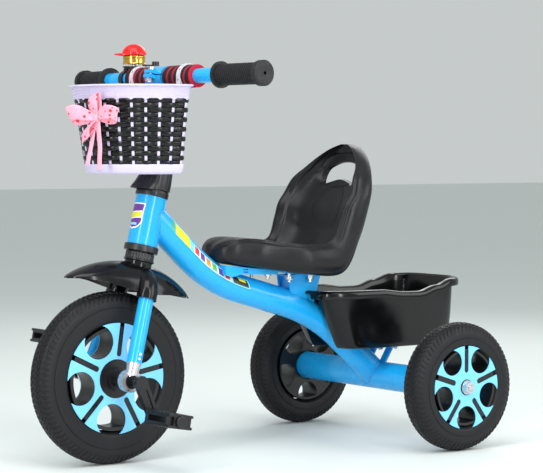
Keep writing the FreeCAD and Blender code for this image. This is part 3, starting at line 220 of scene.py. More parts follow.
M["ribbon"] = pbr("ribbon_satin", (250, 185, 200), rough=0.42, scale=300, bump=0.06, rvar=0.08, cvar=0.04, fine=2500, fbump=0.9, sheen=0.3, streak=(1, 1, 9))
link_col(M["ribbon"], ribbon_cols)
M["pinkplain"] = pbr("ribbon_plain", (248, 160, 182), rough=0.42, scale=300, bump=0.06, rvar=0.08, cvar=0.05, fine=2500, fbump=0.9, sheen=0.3, streak=(1, 1, 9))
for nm, c in (("d_yellow", (228, 222, 40)), ("d_red", (214, 52, 58)), ("d_purple", (108, 52, 150)), ("d_green", (84, 178, 74)), ("d_white", (240, 241, 244)),
              ("d_black", (24, 26, 28)), ("d_cyan", (120, 226, 236)), ("d_orange", (238, 140, 44))):
    M[nm] = pbr(nm, c, rough=0.3, scale=80, bump=0.01, rvar=0.05, cvar=0.05, fine=1500, fbump=0.1)

# ------------------------------------------------------------------ mesh helpers


def make(name, verts, faces, mat, body, replaces=(), smooth=True, mats=None, fmat=None, angle=None):
    me = bpy.data.meshes.new(name)
    me.from_pydata([tuple(v) for v in np.asarray(verts, float) / 1000.0], [], [tuple(int(i) for i in f) for f in faces])
    bm = bmesh.new()
    bm.from_mesh(me)
    bmesh.ops.remove_doubles(bm, verts=bm.verts, dist=1e-6)
    bmesh.ops.recalc_face_normals(bm, faces=bm.faces)
    bm.to_mesh(me)
    bm.free()
    o = bpy.data.objects.new(name, me)
    bpy.context.scene.collection.objects.link(o)
    for m in (mats or [mat]):
        me.materials.append(m)
    if fmat is not None and len(fmat) == len(me.polygons):
        for p, i in zip(me.polygons, fmat):
            p.material_index = int(i)
    for p in me.polygons:
        p.use_smooth = smooth
    if angle:
        sharp(o, angle)
    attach(o, body)
    if replaces:
        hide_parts(*replaces)
    return o


def sharp(o, deg):
    me = o.data
    bm = bmesh.new()
    bm.from_mesh(me)
    lim = math.radians(deg)
    for e in bm.edges:
        if len(e.link_faces) == 2 and e.calc_face_angle(0) > lim:
            e.smooth = False
        elif len(e.link_faces) != 2:
            e.smooth = False
    bm.to_mesh(me)
    bm.free()


def grid(nu, nv, cu=False, cv=False):
    f = []
    for i in range(nu if cu else nu - 1):
        for j in range(nv if cv else nv - 1):
            a, b = i * nv + j, i * nv + (j + 1) % nv
            c, d = ((i + 1) % nu) * nv + (j + 1) % nv, ((i + 1) % nu) * nv + j
            f.append((a, b, c, d))
    return f


def catmull(P, t, closed):
    """Catmull-Rom through rows of P at parameters t (0..n or 0..n-1)"""
    P = np.asarray(P, float)
    n = len(P)
    t = np.asarray(t, float)
    i = np.floor(t).astype(int)
    if not closed:
        i = np.clip(i, 0, n - 2)
    u = (t - i).reshape(-1, *([1] * (P.ndim - 1)))
    if closed:
        p0, p1, p2, p3 = P[(i - 1) % n], P[i % n], P[(i + 1) % n], P[(i + 2) % n]
    else:
        E = np.concatenate([[2 * P[0] - P[1]], P, [2 * P[-1] - P[-2]]])
        p0, p1, p2, p3 = E[i], E[i + 1], E[i + 2], E[np.clip(i + 3, 0, n + 1)]
    return 0.5 * (2 * p1 + (p2 - p0) * u + (2 * p0 - 5 * p1 + 4 * p2 - p3) * u * u + (3 * p1 - p0 - 3 * p2 + p3) * u ** 3)


def frames(path, closed=False, up=(0.123, 0.456, 0.881)):
    path = np.asarray(path, float)
    if closed:
        d = np.roll(path, -1, 0) - np.roll(path, 1, 0)
    else:
        d = np.gradient(path, axis=0)
    d /= np.linalg.norm(d, axis=1)[:, None]
    a = np.cross(d[0], np.array(up))
    a /= np.linalg.norm(a)
    A = [a]
    for k in range(1, len(path)):
        a = A[-1] - d[k] * (A[-1] @ d[k])
        a /= np.linalg.norm(a)
        A.append(a)
    A = np.array(A)
    return d, A, np.cross(d, A)


def tube(path, rad, ns=20, closed=False):
    path = np.asarray(path, float)
    rad = np.broadcast_to(rad, (len(path),))
    d, A, B = frames(path, closed)
    th = np.linspace(0, 2 * np.pi, ns, endpoint=False)
    V = path[:, None] + rad[:, None, None] * (A[:, None] * np.cos(th)[None, :, None] + B[:, None] * np.sin(th)[None, :, None])
    V = V.reshape(-1, 3)
    F = grid(len(path), ns, closed, True)
    if not closed:
        F = list(F) + [tuple(range(ns))[::-1], tuple(range((len(path) - 1) * ns, len(path) * ns))]
    return V, F


def lathe(prof, origin, axis, ns=96, flute=None, closed=True):
    """prof: list of (axial, radius) closed loop; flute(theta, k) scales the radius of profile point k"""
    origin, axis = np.asarray(origin, float), np.asarray(axis, float)
    axis = axis / np.linalg.norm(axis)
    h = np.array([1.0, 0, 0]) if abs(axis[0]) < 0.9 else np.array([0, 1.0, 0])
    A = np.cross(axis, h)
    A /= np.linalg.norm(A)
    B = np.cross(axis, A)
    V = []
    for i in range(ns):
        th = 2 * math.pi * i / ns
        e = A * math.cos(th) + B * math.sin(th)
        for k, (ax, r) in enumerate(prof):
            rr = r + (flute(th, k, ax, r) if flute else 0.0)
            V.append(origin + axis * ax + e * rr)
    return np.array(V), grid(ns, len(prof), True, closed)


def bevel(o, w=0.0004, seg=2, ang=35):
    b = o.modifiers.new("edge", "BEVEL")
    b.width = w
    b.segments = seg
    b.limit_method = "ANGLE"
    b.angle_limit = math.radians(ang)
    b.harden_normals = False
    return o


# ------------------------------------------------------------------ CAD nodes that are shown
cadmat = {
    "blue": "main_tube head_tube rear_axle_tube seat_gusset seat_bracket bucket_struts bucket_bracket fork handlebar_stem handlebar".split(),
    "steel": "rear_axle_rod rear_washers rear_axle_nuts seat_bolts bracket_bolt bucket_screws steerer_tube fork_end_rivets headset_nut stem_clamp_bolt stem_wedge bell_post".split(),
    "cast": ["fork_ends"],
    "dark": ["crank_axle"],
    "hub": "front_hub rear_hub_left rear_hub_right rear_bush_left rear_bush_right rear_axle_plugs fork_bushes spindle_caps pedal_left pedal_right".split(),
    "ltblue": "front_face_left front_face_right rear_face_left rear_face_right".split(),
    "tyre": "front_tyre rear_tyre_left rear_tyre_right".split(),
    "seat": ["seat"],
    "gloss": ["bucket", "mudguard"],
    "collar": "headset_lower_cup headset_upper_cup fork_dust_cover stem_cover bell_base bell_lever".split(),
    "grip": ["grip_left", "grip_right"],
    "foam": ["foam_sleeve_left", "foam_sleeve_right"],
    "strap": ["basket_straps"],
    "lilac": ["basket_frame"],
    "strip": ["basket_weave"],
    "ribbon": ["ribbon_bow"],
    "brass": ["bell_dome"],
    "red": ["bell_cap"],
}
for k, names in cadmat.items():
    for n in names:
        o = N[n]
        o.data.materials.clear()
        o.data.materials.append(M[k])
missing = set(N) - set(sum(cadmat.values(), []))
assert not missing, missing

# ------------------------------------------------------------------ tyres


def tyre_piece(name, node, R, W, r_face, cx, cy, cz, periods, body):
    h = W / 2
    r_in = r_face + 0.2
    # half profile from the bead out over the shoulder to the crown: (x, r, zone)
    S = [(h - 6.0, r_in - 3.0), (h - 3.2, r_in - 0.6), (h - 1.4, r_in + 0.6), (h - 0.5, r_in + 2.2), (h - 0.15, r_in + 5.0), (h - 0.05, r_in + 8.0),
         (h - 0.0, R - 27.0), (h - 0.1, R - 24.6), (h - 0.9, R - 24.2), (h - 0.9, R - 23.4), (h - 0.4, R - 22.8), (h - 0.4, R - 18.0), (h - 1.0, R - 14.2)]
    tread = [(h - 1.2, R - 13.6), (h - 2.0, R - 10.4), (h - 3.4, R - 7.4), (h - 5.2, R - 4.9), (h - 7.0, R - 3.3), (h - 7.4, R - 3.0), (h - 8.3, R - 2.5), (h - 8.7, R - 2.3),
             (h - 11.0, R - 1.4), (h - 13.4, R - 0.75), (h - 13.8, R - 0.7), (h - 14.8, R - 0.5), (h - 15.2, R - 0.45), (h - 18.0, R - 0.15)]
    half = [(x, r, "s") for x, r in S] + [(x, r, "t") for x, r in tread]
    half = [p for p in half if p[1] > r_in - 4]
    prof = half + [(0.0, R, "t")] + [(-x, r, z) for x, r, z in reversed(half)]
    # base normals of the profile
    P = np.array([(p[0], p[1]) for p in prof])
    d = np.gradient(P, axis=0)
    nrm = np.stack([d[:, 1], -d[:, 0]], 1)
    nrm /= np.linalg.norm(nrm, axis=1)[:, None]
    nrm[nrm[:, 1] < -0.99] *= -1
    mid = np.array([0.0, r_face - 10])
    for k in range(len(P)):
        if (P[k] - mid) @ nrm[k] < 0:
            nrm[k] *= -1
    ax = np.abs(P[:, 0])
    # chevron lead of the sipes across the tread, mm of arc
    lead = np.interp(ax, [0, h - 14.5, h - 8, h - 2, h], [0.0, 6.0, 1.0, 7.0, 7.0])
    istread = np.array([p[2] == "t" for p in prof])
    groove_c = np.array([1.0 if (istread[k] and (abs(ax[k] - (h - 8.0)) < 0.5 or abs(ax[k] - (h - 14.5)) < 0.55 or (abs(ax[k] - (h - 7.85)) < 0.5))) else 0.0 for k in range(len(P))])
    depth_edge = np.where(istread, 1.35, 0.0)
    fade = np.interp(ax, [0, h - 1.6, h - 1.2], [1.0, 1.0, 0.15])
    u_loc = np.array([0.0, 0.10, 0.50, 0.60, 0.78])
    cut = np.array([1.0, 0.0, 0.0, 1.0, 1.0])
    nper = periods
    V, nu = [], nper * len(u_loc)
    # every second course is shifted half a period
    zone = np.where(ax > h - 8.1, 0.5, np.where(ax > h - 14.6, 0.0, 0.5))
    for p in range(nper):
        for q, ul in enumerate(u_loc):
            for k in range(len(P)):
                sh = lead[k] / (2 * math.pi * R) * 2 * math.pi
                th = 2 * math.pi * (p + ul) / nper + sh + (zone[k] * 0.0)
                drop = 0.0
                if istread[k]:
                    c = cut[q] if zone[k] == 0.5 else cut[(q + 2) % 5]
                    drop = max(c * depth_edge[k] * fade[k], groove_c[k] * 1.2)
                x = P[k, 0] - nrm[k, 0] * drop
                r = P[k, 1] - nrm[k, 1] * drop
                V.append((cx + x, cy + r * math.cos(th), cz + r * math.sin(th)))
    F = grid(nu, len(P), True, False)
    o = make(name, V, F, M["tyre"], body, (node,), angle=38)
    return o


tyre_piece("tyre_front", "front_tyre", FR, 42.0, 82.7, 0, FY, FR, 92, "front_wheel")
tyre_piece("tyre_rear_left", "rear_tyre_left", RR, 43.0, 64.3, 203.0, RY, RR, 74, "rear_wheel_left")
tyre_piece("tyre_rear_right", "rear_tyre_right", RR, 43.0, 64.3, -203.0, RY, RR, 74, "rear_wheel_right")

# ------------------------------------------------------------------ seat
PIV = (49.0 + DY, 400.0)
ST = [
    ("y", -90.5, 12, 316, 315, 304, 303), ("y", -84, 30, 324, 320, 297, 296), ("y", -68, 42, 330.5, 328, 293.5, 293), ("y", -48, 47, 333, 331, 289.5, 289.5),
    ("y", -22, 53, 329, 329, 285.5, 286), ("y", 5, 68, 317, 324, 279.5, 281), ("y", 30, 86, 307, 322, 275.5, 276), ("y", 49, 93, 303, 321, 274.2, 274.2),
    ("f", 25, 98, 107, 81, 139, 139), ("f", 50, 101, 102, 64, 115, 116), ("f", 72, 102, 91, 60, 108, 110), ("z", 400, 101, 150, 119.5, 160.5, 164),
    ("z", 422, 92, 163, 130, 167, 174), ("z", 440, 76, 173, 146, 175, 182), ("z", 456, 56, 178.5, 157, 183, 188), ("z", 469, 32, 180, 166, 189.5, 191),
    ("z", 476.5, 10, 180, 173, 187, 187.5),
]


def seat_ring(w, ic, rt, os_, oc):
    dr = os_ - rt
    return [(0.0, oc), (0.30 * w, oc + 0.10 * (os_ - oc)), (0.60 * w, oc + 0.55 * (os_ - oc)), (0.83 * w, os_ - 0.03 * dr), (0.955 * w, os_ - 0.20 * dr),
            (1.0 * w, os_ - 0.50 * dr), (0.965 * w, os_ - 0.82 * dr), (0.86 * w, rt), (0.76 * w, rt + 0.22 * (ic - rt)), (0.66 * w, rt + 0.62 * (ic - rt)),
            (0.50 * w, rt + 0.90 * (ic - rt)), (0.25 * w, ic), (0.0, ic)]


def seat_sec(st):
    mode, pos, w, ic, rt, os_, oc = st
    if mode == "y":
        h = seat_ring(w, -ic, -rt, -os_, -oc)
        f = lambda x, d: (x, pos + DY, -d)
    elif mode == "z":
        h = seat_ring(w, ic, rt, os_, oc)
        f = lambda x, d: (x, d + DY, pos)
    else:
        a = math.radians(pos)
        h = seat_ring(w, ic, rt, os_, oc)
        f = lambda x, d: (x, PIV[0] + d * math.sin(a), PIV[1] - d * math.cos(a))
    return [f(x, d) for x, d in h] + [f(-x, d) for x, d in reversed(h[1:-1])]


def seat_piece():
    S = np.array([seat_sec(s) for s in ST])          # 17 x 24 x 3
    nr, nl = 24 * 12, 16 * 14 + 1
    ring_t = np.linspace(0, 24, nr, endpoint=False)
    R1 = np.stack([catmull(S[i], ring_t, True) for i in range(len(S))])      # 17 x nr x 3
    tl = np.linspace(0, len(S) - 1, nl)
    G = catmull(R1, tl, False)                                               # nl x nr x 3
    # outward normals
    du = np.gradient(G, axis=0)
    dv = np.roll(G, -1, 1) - np.roll(G, 1, 1)
    nn = np.cross(du, dv)
    nn /= np.maximum(np.linalg.norm(nn, axis=2), 1e-9)[:, :, None]
    cen = G.mean(1, keepdims=True)
    if ((G - cen) * nn).sum() < 0:
        nn = -nn
    rt_ = np.minimum(ring_t, 24 - ring_t)[None, :]
    fadeL = np.clip((tl - 2.2) / 2.0, 0, 1) * np.clip((15.2 - tl) / 2.0, 0, 1)
    disp = np.zeros(G.shape[:2])
    disp -= 1.5 * np.exp(-((rt_ - 6.55) / 0.20) ** 2) * fadeL[:, None]       # crease on the rim's outer shoulder
    disp -= 1.2 * np.exp(-((rt_ - 8.35) / 0.22) ** 2) * fadeL[:, None]       # crease at the rim's inner foot
    disp += 0.5 * np.exp(-((rt_ - 7.5) / 0.5) ** 2) * fadeL[:, None]
    # oval recess on the inner face of the back
    inner = (rt_ > 9.0) * np.ones_like(disp)
    ox, oz = G[:, :, 0] / 32.0, (G[:, :, 2] - 376.0) / 36.0
    rr = np.sqrt(ox ** 2 + oz ** 2)
    back = inner * (tl[:, None] > 8.6)
    disp -= back * (1.0 / (1 + np.exp(np.clip((rr - 1.0) * 28, -40, 40))))
    disp -= back * 1.1 * np.exp(-((rr - 1.0) / 0.065) ** 2)
    # soft roll around the hand hole
    hx, hz = G[:, :, 0] / 47.0, (G[:, :, 2] - 436.0) / 25.0
    hr = (np.abs(hx) ** 2.6 + np.abs(hz) ** 2.6) ** (1 / 2.6)
    disp -= back * 2.6 * np.exp(-np.clip((hr - 0.98) / 0.10, 0, 9) ** 2)
    # shallow dish along the middle of the nose
    nose = np.exp(-((G[:, :, 0]) / 9.0) ** 2) * np.clip((3.6 - tl[:, None]) / 1.5, 0, 1) * (rt_ > 9.5)
    disp -= 2.2 * nose
    G = G + nn * disp[:, :, None]
    # flat landing for the bracket
    y0, y1 = -80 + DY, 113 + DY
    tt = np.clip((G[:, :, 1] - y0) / (y1 - y0), 0, 1)
    tz = 291.0 - 18.0 * np.minimum(1, tt * 1.25)
    mask = (np.abs(G[:, :, 0]) < 60) & (G[:, :, 1] > y0 - 1) & (G[:, :, 1] < y1 + 1) & (G[:, :, 2] < tz) & (G[:, :, 2] > 250) & (tl[:, None] < 10)
    G[:, :, 2] = np.where(mask, tz + 0.05, G[:, :, 2])
    V = G.reshape(-1, 3)
    F = grid(nl, nr, False, True)
    c0, c1 = len(V), len(V) + 1
    V = np.concatenate([V, [G[0].mean(0)], [G[-1].mean(0)]])
    F += [(c0, j, (j + 1) % nr) for j in range(nr)]
    b = (nl - 1) * nr
    F += [(c1, b + (j + 1) % nr, b + j) for j in range(nr)]
    o = make("seat_shell", V, F, M["seat"], "chassis", ("seat",))
    # hand hole: a scoop whose top wall slopes down to the back
    fr = np.array([(-41, 411), (-47, 424), (-44, 441), (-26, 456), (0, 461), (26, 456), (44, 441), (47, 424), (41, 411), (27, 414), (0, 419.5), (-27, 414)], float)
    bk = np.array([(-37, 414), (-40, 424), (-36, 437), (-19, 445), (0, 447), (19, 445), (36, 437), (40, 424), (37, 414), (24, 417), (0, 421), (-24, 417)], float)
    t = np.linspace(0, 12, 96, endpoint=False)
    a, c = catmull(fr, t, True), catmull(bk, t, True)
    ys = [110 + DY, 164 + DY, 173 + DY, 181 + DY, 240 + DY]
    mixk = [1.3, 0.75, 0.35, 0.0, 0.0]
    VV = []
    for y, k in zip(ys, mixk):
        sec = c + (a - c) * k
        VV += [(p[0], y, p[1]) for p in sec]
    FF = grid(len(ys), 96, False, True) + [tuple(range(96))[::-1], tuple(range(96 * 4, 96 * 5))]
    me = bpy.data.meshes.new("cutter")
    me.from_pydata([tuple(np.array(v) / 1000) for v in VV], [], FF)
    cu = bpy.data.objects.new("cutter", me)
    bpy.context.scene.collection.objects.link(cu)
    bm = bmesh.new()
    bm.from_mesh(me)
    bmesh.ops.recalc_face_normals(bm, faces=bm.faces)
    bm.to_mesh(me)
    bm.free()
    md = o.modifiers.new("hole", "BOOLEAN")
    md.object = cu
    md.solver = "EXACT"
    md.operation = "DIFFERENCE"
    bpy.context.view_layer.update()
    dg = bpy.context.evaluated_depsgraph_get()
    me2 = bpy.data.meshes.new_from_object(o.evaluated_get(dg))
    o.modifiers.clear()
    o.data = me2
    me2.name = "seat_shell"
    bpy.data.objects.remove(cu)
    for p in me2.polygons:
        p.use_smooth = True
        p.material_index = 0
    sharp(o, 48)
    return o


seat_piece()

# ------------------------------------------------------------------ mudguard
MG = [(116.0, 5, 170.5, 168.0), (112.5, 18, 171.0, 163.5), (106, 28, 172.0, 155.0), (98, 33, 173.0, 146.0), (90, 36.5, 174.0, 138.0), (82, 39.5, 175.0, 133.0),
      (74, 41, 176.5, 132.0), (66, 40.5, 178.0, 135.0), (58, 36.5, 179.5, 143.5), (50, 29, 180.5, 156.0), (43, 17, 181.0, 169.5), (38.8, 5, 181.0, 178.5)]


def mudguard_piece():
    P = catmull(np.array(MG, float), np.linspace(0, 11, 100), False)
    ns = 37
    V = []
    for a, w, rc, re in P:
        ar = math.radians(a)
        e = np.array([0, math.cos(ar), math.sin(ar)])
        row_o, row_i = [], []
        for i in range(ns):
            th = math.pi * (1 - i / (ns - 1))
            x, r = w * math.cos(th), re + (rc - re) * math.sin(th)
            # rolled lip along the edge
            lip = 0.9 * math.exp(-((math.sin(th)) / 0.07) ** 2)
            x += math.copysign(lip, math.cos(th)) * (w / 41)
            t = min(2.2, w * 0.35)
            k = (w - t) / w
            xi, ri = w * k * math.cos(th), re + max(rc - t - re, 0.3 * (rc - re)) * math.sin(th)
            row_o.append(np.array([x, FY, FR]) + e * r)
            row_i.append(np.array([xi, FY, FR]) + e * ri)
        V += row_o + row_i[::-1]
    n = 2 * ns
    F = grid(len(P), n, False, True)
    F += [tuple(range(n))[::-1], tuple(range((len(P) - 1) * n, len(P) * n))]
    o = make("mudguard_blade", V, F, M["gloss"], "steering", ("mudguard",), angle=60)
    # shoulder sleeves over the fork bend, with a soft crease down the front and back
    a0, a1 = np.array([38.5, 1.5, 156.0]), np.array([57.6, -9.5, 24.0])
    q = (a1 - a0) / np.linalg.norm(a1 - a0)
    endp = a0 + q * 36.5
    pts = [np.array([-endp[0], endp[1], endp[2]]), np.array([-38.5, 1.5, 156.0]), a0, endp]
    path = round_path(pts, [34.0, 34.0], 3.0)
    L = np.linspace(0, 1, len(path))
    path = np.array([steer(p) for p in path])
    d, A, B = frames(path)
    th = np.linspace(0, 2 * np.pi, 64, endpoint=False)
    VV = []
    xa = np.abs(path[:, 0])
    for k in range(len(path)):
        r = 14.9 + 0.5 * math.cos(2 * math.pi * L[k])
        side = np.interp(xa[k], [20, 32], [0, 1])
        for t in th:
            e = A[k] * math.cos(t) + B[k] * math.sin(t)
            # crease facing outwards and forwards
            out = np.array([math.copysign(0.8, path[k, 0]), -0.6, 0.0])
            out /= np.linalg.norm(out)
            c = e @ out
            rr = r + side * (0.9 * math.exp(-((math.acos(max(-1, min(1, c))) - 0.5) / 0.25) ** 2) - 0.9 * math.exp(-((math.acos(max(-1, min(1, c)))) / 0.22) ** 2))
            VV.append(path[k] + e * rr)
    m = len(path)
    # turned-in ends
    ends = []
    for k, sgn in ((0, -1), (m - 1, 1)):
        base = len(VV)
        for t in th:
            e = A[k] * math.cos(t) + B[k] * math.sin(t)
            VV.append(path[k] + e * 11.6)
        ends.append((base, k))
    F = grid(m, 64, False, True)
    for base, k in ends:
        for j in range(64):
            a, b = k * 64 + j, k * 64 + (j + 1) % 64
            F.append((a, b, base + (j + 1) % 64, base + j) if k else (b, a, base + j, base + (j + 1) % 64))
    make("mudguard_sleeves", VV, F, M["gloss"], "steering", (), angle=50)
    # collar and fluted dust cover under the head tube
    ax0, axd = steer((0, 0, 0)), steer_dir((0, 0, 1))
    fl = lambda n, amp, lo, hi: (lambda t, k, a, r: (amp * (abs(math.cos(n * t / 2)) ** 0.6 - 1.0)) if lo < a < hi and r > 15 else 0.0)
    prof = [(161, 13.2), (161, 20.0), (162, 21.4), (172, 20.6), (175.6, 21.2), (176.2, 20.6), (176.2, 13.2)]
    v, f = lathe(prof, ax0, axd, 120)
    make("mudguard_collar", v, f, M["gloss"], "steering", (), angle=40)
    prof = [(176.4, 13.2), (176.4, 22.4), (177.2, 23.2), (178.6, 23.2), (179.2, 21.9), (180, 21.9), (188.6, 21.7), (189.4, 21.2), (189.9, 20.2), (189.9, 13.2)]
    v, f = lathe(prof, ax0, axd, 240, fl(20, 0.9, 179.5, 189))
    make("dust_cover", v, f, M["collar"], "steering", ("fork_dust_cover",), angle=40)
    prof = [(190.6, 13.0), (190.6, 25.2), (191.4, 25.9), (199.0, 25.9), (200.4, 25.4), (200.9, 24.2), (200.9, 13.0)]
    v, f = lathe(prof, ax0, axd, 240, fl(20, 0.5, 192, 198.5))
    make("lower_collar", v, f, M["collar"], "chassis", ("headset_lower_cup",), angle=40)
    prof = [(275.6, 13.0), (275.6, 24.6), (276.3, 25.0), (282.0, 25.0), (284.9, 24.4), (285.4, 23.4), (285.4, 13.0)]
    v, f = lathe(prof, ax0, axd, 240, fl(20, 0.4, 276.5, 282.5))
    make("upper_collar", v, f, M["collar"], "chassis", ("headset_upper_cup",), angle=40)
    # stem cover: fluted bell with a skirt that flares at the front
    prof = [(286.4, 22.6), (286.4, 25.2), (289, 25.8), (296, 25.8), (304, 25.4), (312, 24.9), (318, 24.2), (324, 22.4), (329, 20.4), (333.5, 17.8), (336.6, 15.6), (337.8, 13.6), (337.8, 11.2),
            (335.6, 11.2), (331, 16.0), (325, 19.6), (317, 22.0), (300, 23.2)]
    A0 = None

    def cover_flute(t, k, a, r):
        base = 0.7 * (abs(math.cos(9 * t)) ** 0.5 - 1.0) if 288 < a < 331 and k < 11 and k > 0 else 0.0
        return base

    v, f = lathe(prof, ax0, axd, 288, cover_flute)
    # flare: push the lower front outwards and down
    lo = steer_dir((0, -1, 0))
    rel = v - ax0
    za = rel @ axd
    fwd = rel @ lo
    rad = np.linalg.norm(rel - za[:, None] * axd, axis=1)
    amt = np.clip((fwd / np.maximum(rad, 1)) - 0.25, 0, 1) / 0.75
    hgt = np.clip((306 - za) / 20.0, 0, 1) ** 1.4
    v = v + (lo[None, :] * 13.0 - axd[None, :] * 4.6) * (amt ** 0.8 * hgt)[:, None]
    v[:, 1] = np.where((v[:, 2] > 431.0) & (v[:, 1] < -182.4), -182.4, v[:, 1])
    make("stem_cover_bell", v, f, M["collar"], "steering", ("stem_cover",), angle=45)


def round_path(pts, radii, step=2.0):
    """straight runs joined by tangent arcs, as points about `step` mm apart"""
    pts = [np.asarray(p, float) for p in pts]
    out = [pts[0]]

    def seg(a, b):
        n = max(1, int(np.linalg.norm(b - a) / step))
        for i in range(1, n + 1):
            out.append(a + (b - a) * i / n)
    prev = pts[0]
    for i in range(1, len(pts) - 1):
        a, b, c = pts[i - 1], pts[i], pts[i + 1]
        u = (a - b) / np.linalg.norm(a - b)
        w = (c - b) / np.linalg.norm(c - b)
        ang = math.pi - math.acos(max(-1, min(1, u @ w)))
        R = radii[i - 1]
        t = R * math.tan(ang / 2)
        p1, p2 = b + u * t, b + w * t
        seg(prev, p1)
        md = (u + w) / np.linalg.norm(u + w)
        cen = b + md * R / math.cos(ang / 2)
        e1 = (p1 - cen) / R
        e2 = (p2 - cen) / R
        n = max(4, int(R * ang / step))
        for k in range(1, n + 1):
            s = k / n
            out.append(cen + R * (math.sin((1 - s) * ang) * e1 + math.sin(s * ang) * e2) / math.sin(ang))
        prev = p2
    seg(prev, pts[-1])
    return np.array(out)


mudguard_piece()

# ------------------------------------------------------------------ weld beads and decals on the frame tubes
MP = [(0, -201 + DY, 372), (0, -88 + DY, 266.7), (0, 117 + DY, 208.7), (0, RY, RR)]
MR = 22.3
main_line = round_path(MP, [230.0, 305.0], 2.0)


def bead(name, c, d, r, oc, od, R, sign, body, wr=1.7):
    """bead where a tube (axis through c along d, radius r) meets a cylinder (axis through oc along od, radius R)"""
    c, d, oc, od = (np.asarray(v, float) for v in (c, d, oc, od))
    d /= np.linalg.norm(d)
    od /= np.linalg.norm(od)
    e1 = np.cross(d, od)
    e1 /= np.linalg.norm(e1)
    e2 = np.cross(d, e1)
    n = 220
    pts = []
    for i in range(n):
        t = 2 * math.pi * i / n
        p = c + r * (math.cos(t) * e1 + math.sin(t) * e2)
        w = p - oc
        w = w - od * (w @ od)
        dd = d - od * (d @ od)
        A, B, C = dd @ dd, 2 * w @ dd, w @ w - R * R
        disc = max(0.0, B * B - 4 * A * C)
        s = (-B + sign * math.sqrt(disc)) / (2 * A)
        pts.append(p + d * s)
    pts = np.array(pts)
    k = np.arange(n)
    rad = wr * (1 + 0.16 * np.sin(k * 2 * np.pi * 44 / n) + 0.08 * np.sin(k * 2 * np.pi * 7 / n + 1))
    v, f = tube(pts, rad, 12, True)
    make(name, v, f, M["weld"], body, ())


d_last = np.array(MP[3], float) - np.array(MP[2], float)
bead("weld_axle", MP[2], d_last, MR, (0, RY, RR), (1, 0, 0), 22.5, -1, "chassis")
d_first = np.array(MP[0], float) - np.array(MP[1], float)
bead("weld_head", MP[1], d_first, MR, steer((0, 0, 0)), steer_dir((0, 0, 1)), 23.0, -1, "chassis")
for sx in (-19.0, 19.0):
    p = [(sx - 6.5, RY - 2.0, RR + 23.2), (sx, RY - 0.2, RR + 23.3), (sx + 6.5, RY - 2.0, RR + 23.2)]
    v, f = tube(catmull(np.array(p), np.linspace(0, 2, 22), False), 1.3 + 0.25 * np.sin(np.arange(22) * 1.9), 10)
    make("weld_strut_%s" % ("a" if sx < 0 else "b"), v, f, M["weld"], "chassis", ())

L = np.concatenate([[0], np.cumsum(np.linalg.norm(np.diff(main_line, axis=0), axis=1))])


def on_main(s, phi, off=0.18):
    """point on the main tube: s mm along, phi degrees round from straight up towards +X"""
    p = np.array([np.interp(s, L, main_line[:, k]) for k in range(3)])
    q = np.array([np.interp(s + 1.0, L, main_line[:, k]) for k in range(3)])
    d = (q - p) / np.linalg.norm(q - p)
    up = np.array([0, -d[2], d[1]])
    if up[2] < 0:
        up = -up
    side = np.array([1.0, 0, 0])
    a = math.radians(phi)
    return p + (up * math.cos(a) + side * math.sin(a)) * (MR + off)


def main_patch(poly_s, poly_p, n_s=14, n_p=8, off=0.18):
    """four-sided patch from corner (s, phi) pairs: s0/s1 along at phi0 and phi1"""
    (sa0, sa1), (sb0, sb1) = poly_s
    p0, p1 = poly_p
    V = []
    for i in range(n_s + 1):
        u = i / n_s
        for j in range(n_p + 1):
            w = j / n_p
            s = (sa0 + (sa1 - sa0) * u) * (1 - w) + (sb0 + (sb1 - sb0) * u) * w
            V.append(on_main(s, p0 + (p1 - p0) * w, off))
    return np.array(V), grid(n_s + 1, n_p + 1)


def patches(name, items, body):
    V, F, fm, mats = [], [], [], []
    for (v, f, mk) in items:
        if M[mk] not in mats:
            mats.append(M[mk])
        b = len(V)
        V += list(v)
        F += [tuple(b + i for i in q) for q in f]
        fm += [mats.index(M[mk])] * len(f)
    return make(name, V, F, None, body, (), mats=mats, fmat=fm)


for side, sg in (("left", 1), ("right", -1)):
    it = []
    c0, c1 = 52.0, 84.0          # angular band of the blocks
    s0 = 42.0
    # backing outline, then the colour fields
    it.append((*main_patch(((s0 + 24, s0 + 168), (s0 + 30, s0 + 174)), (sg * (c0 - 4), sg * (c1 + 4)), 60, 10, 0.10), "d_black"))
    it.append((*main_patch(((s0 + 25, s0 + 167), (s0 + 31, s0 + 173)), (sg * (c0 - 2.4), sg * (c1 + 2.4)), 60, 10, 0.14), "d_cyan"))
    it.append((*main_patch(((s0 - 6, s0 + 30), (s0 + 4, s0 + 40)), (sg * (c0 - 6), sg * (c1 + 2)), 16, 8, 0.20), "d_yellow"))
    it.append((*main_patch(((s0 - 14, s0 - 9), (s0 - 4, s0 + 1)), (sg * (c0 - 8), sg * (c1 + 2)), 4, 8, 0.20), "d_green"))
    cols = ["d_red", "d_purple", "d_orange", "d_green", "d_purple", "d_red"]
    for i, c in enumerate(cols):
        a = s0 + 44 + i * 14.2
        it.append((*main_patch(((a - 1.0, a + 12.2), (a + 5.0, a + 18.2)), (sg * (c0 + 1), sg * (c1 - 1)), 8, 8, 0.20), "d_white"))
        it.append((*main_patch(((a + 0.3, a + 10.8), (a + 5.9, a + 16.4)), (sg * (c0 + 3.2), sg * (c1 - 3.2)), 8, 8, 0.26), c))
    it.append((*main_patch(((s0 + 132, s0 + 164), (s0 + 138, s0 + 170)), (sg * (c0 + 2), sg * (c1 - 2)), 16, 8, 0.20), "d_black"))
    it.append((*main_patch(((s0 + 146, s0 + 160), (s0 + 149, s0 + 163)), (sg * (c0 + 4), sg * (c0 + 14)), 8, 4, 0.26), "d_yellow"))
    patches("tube_decal_" + side, it, "chassis")

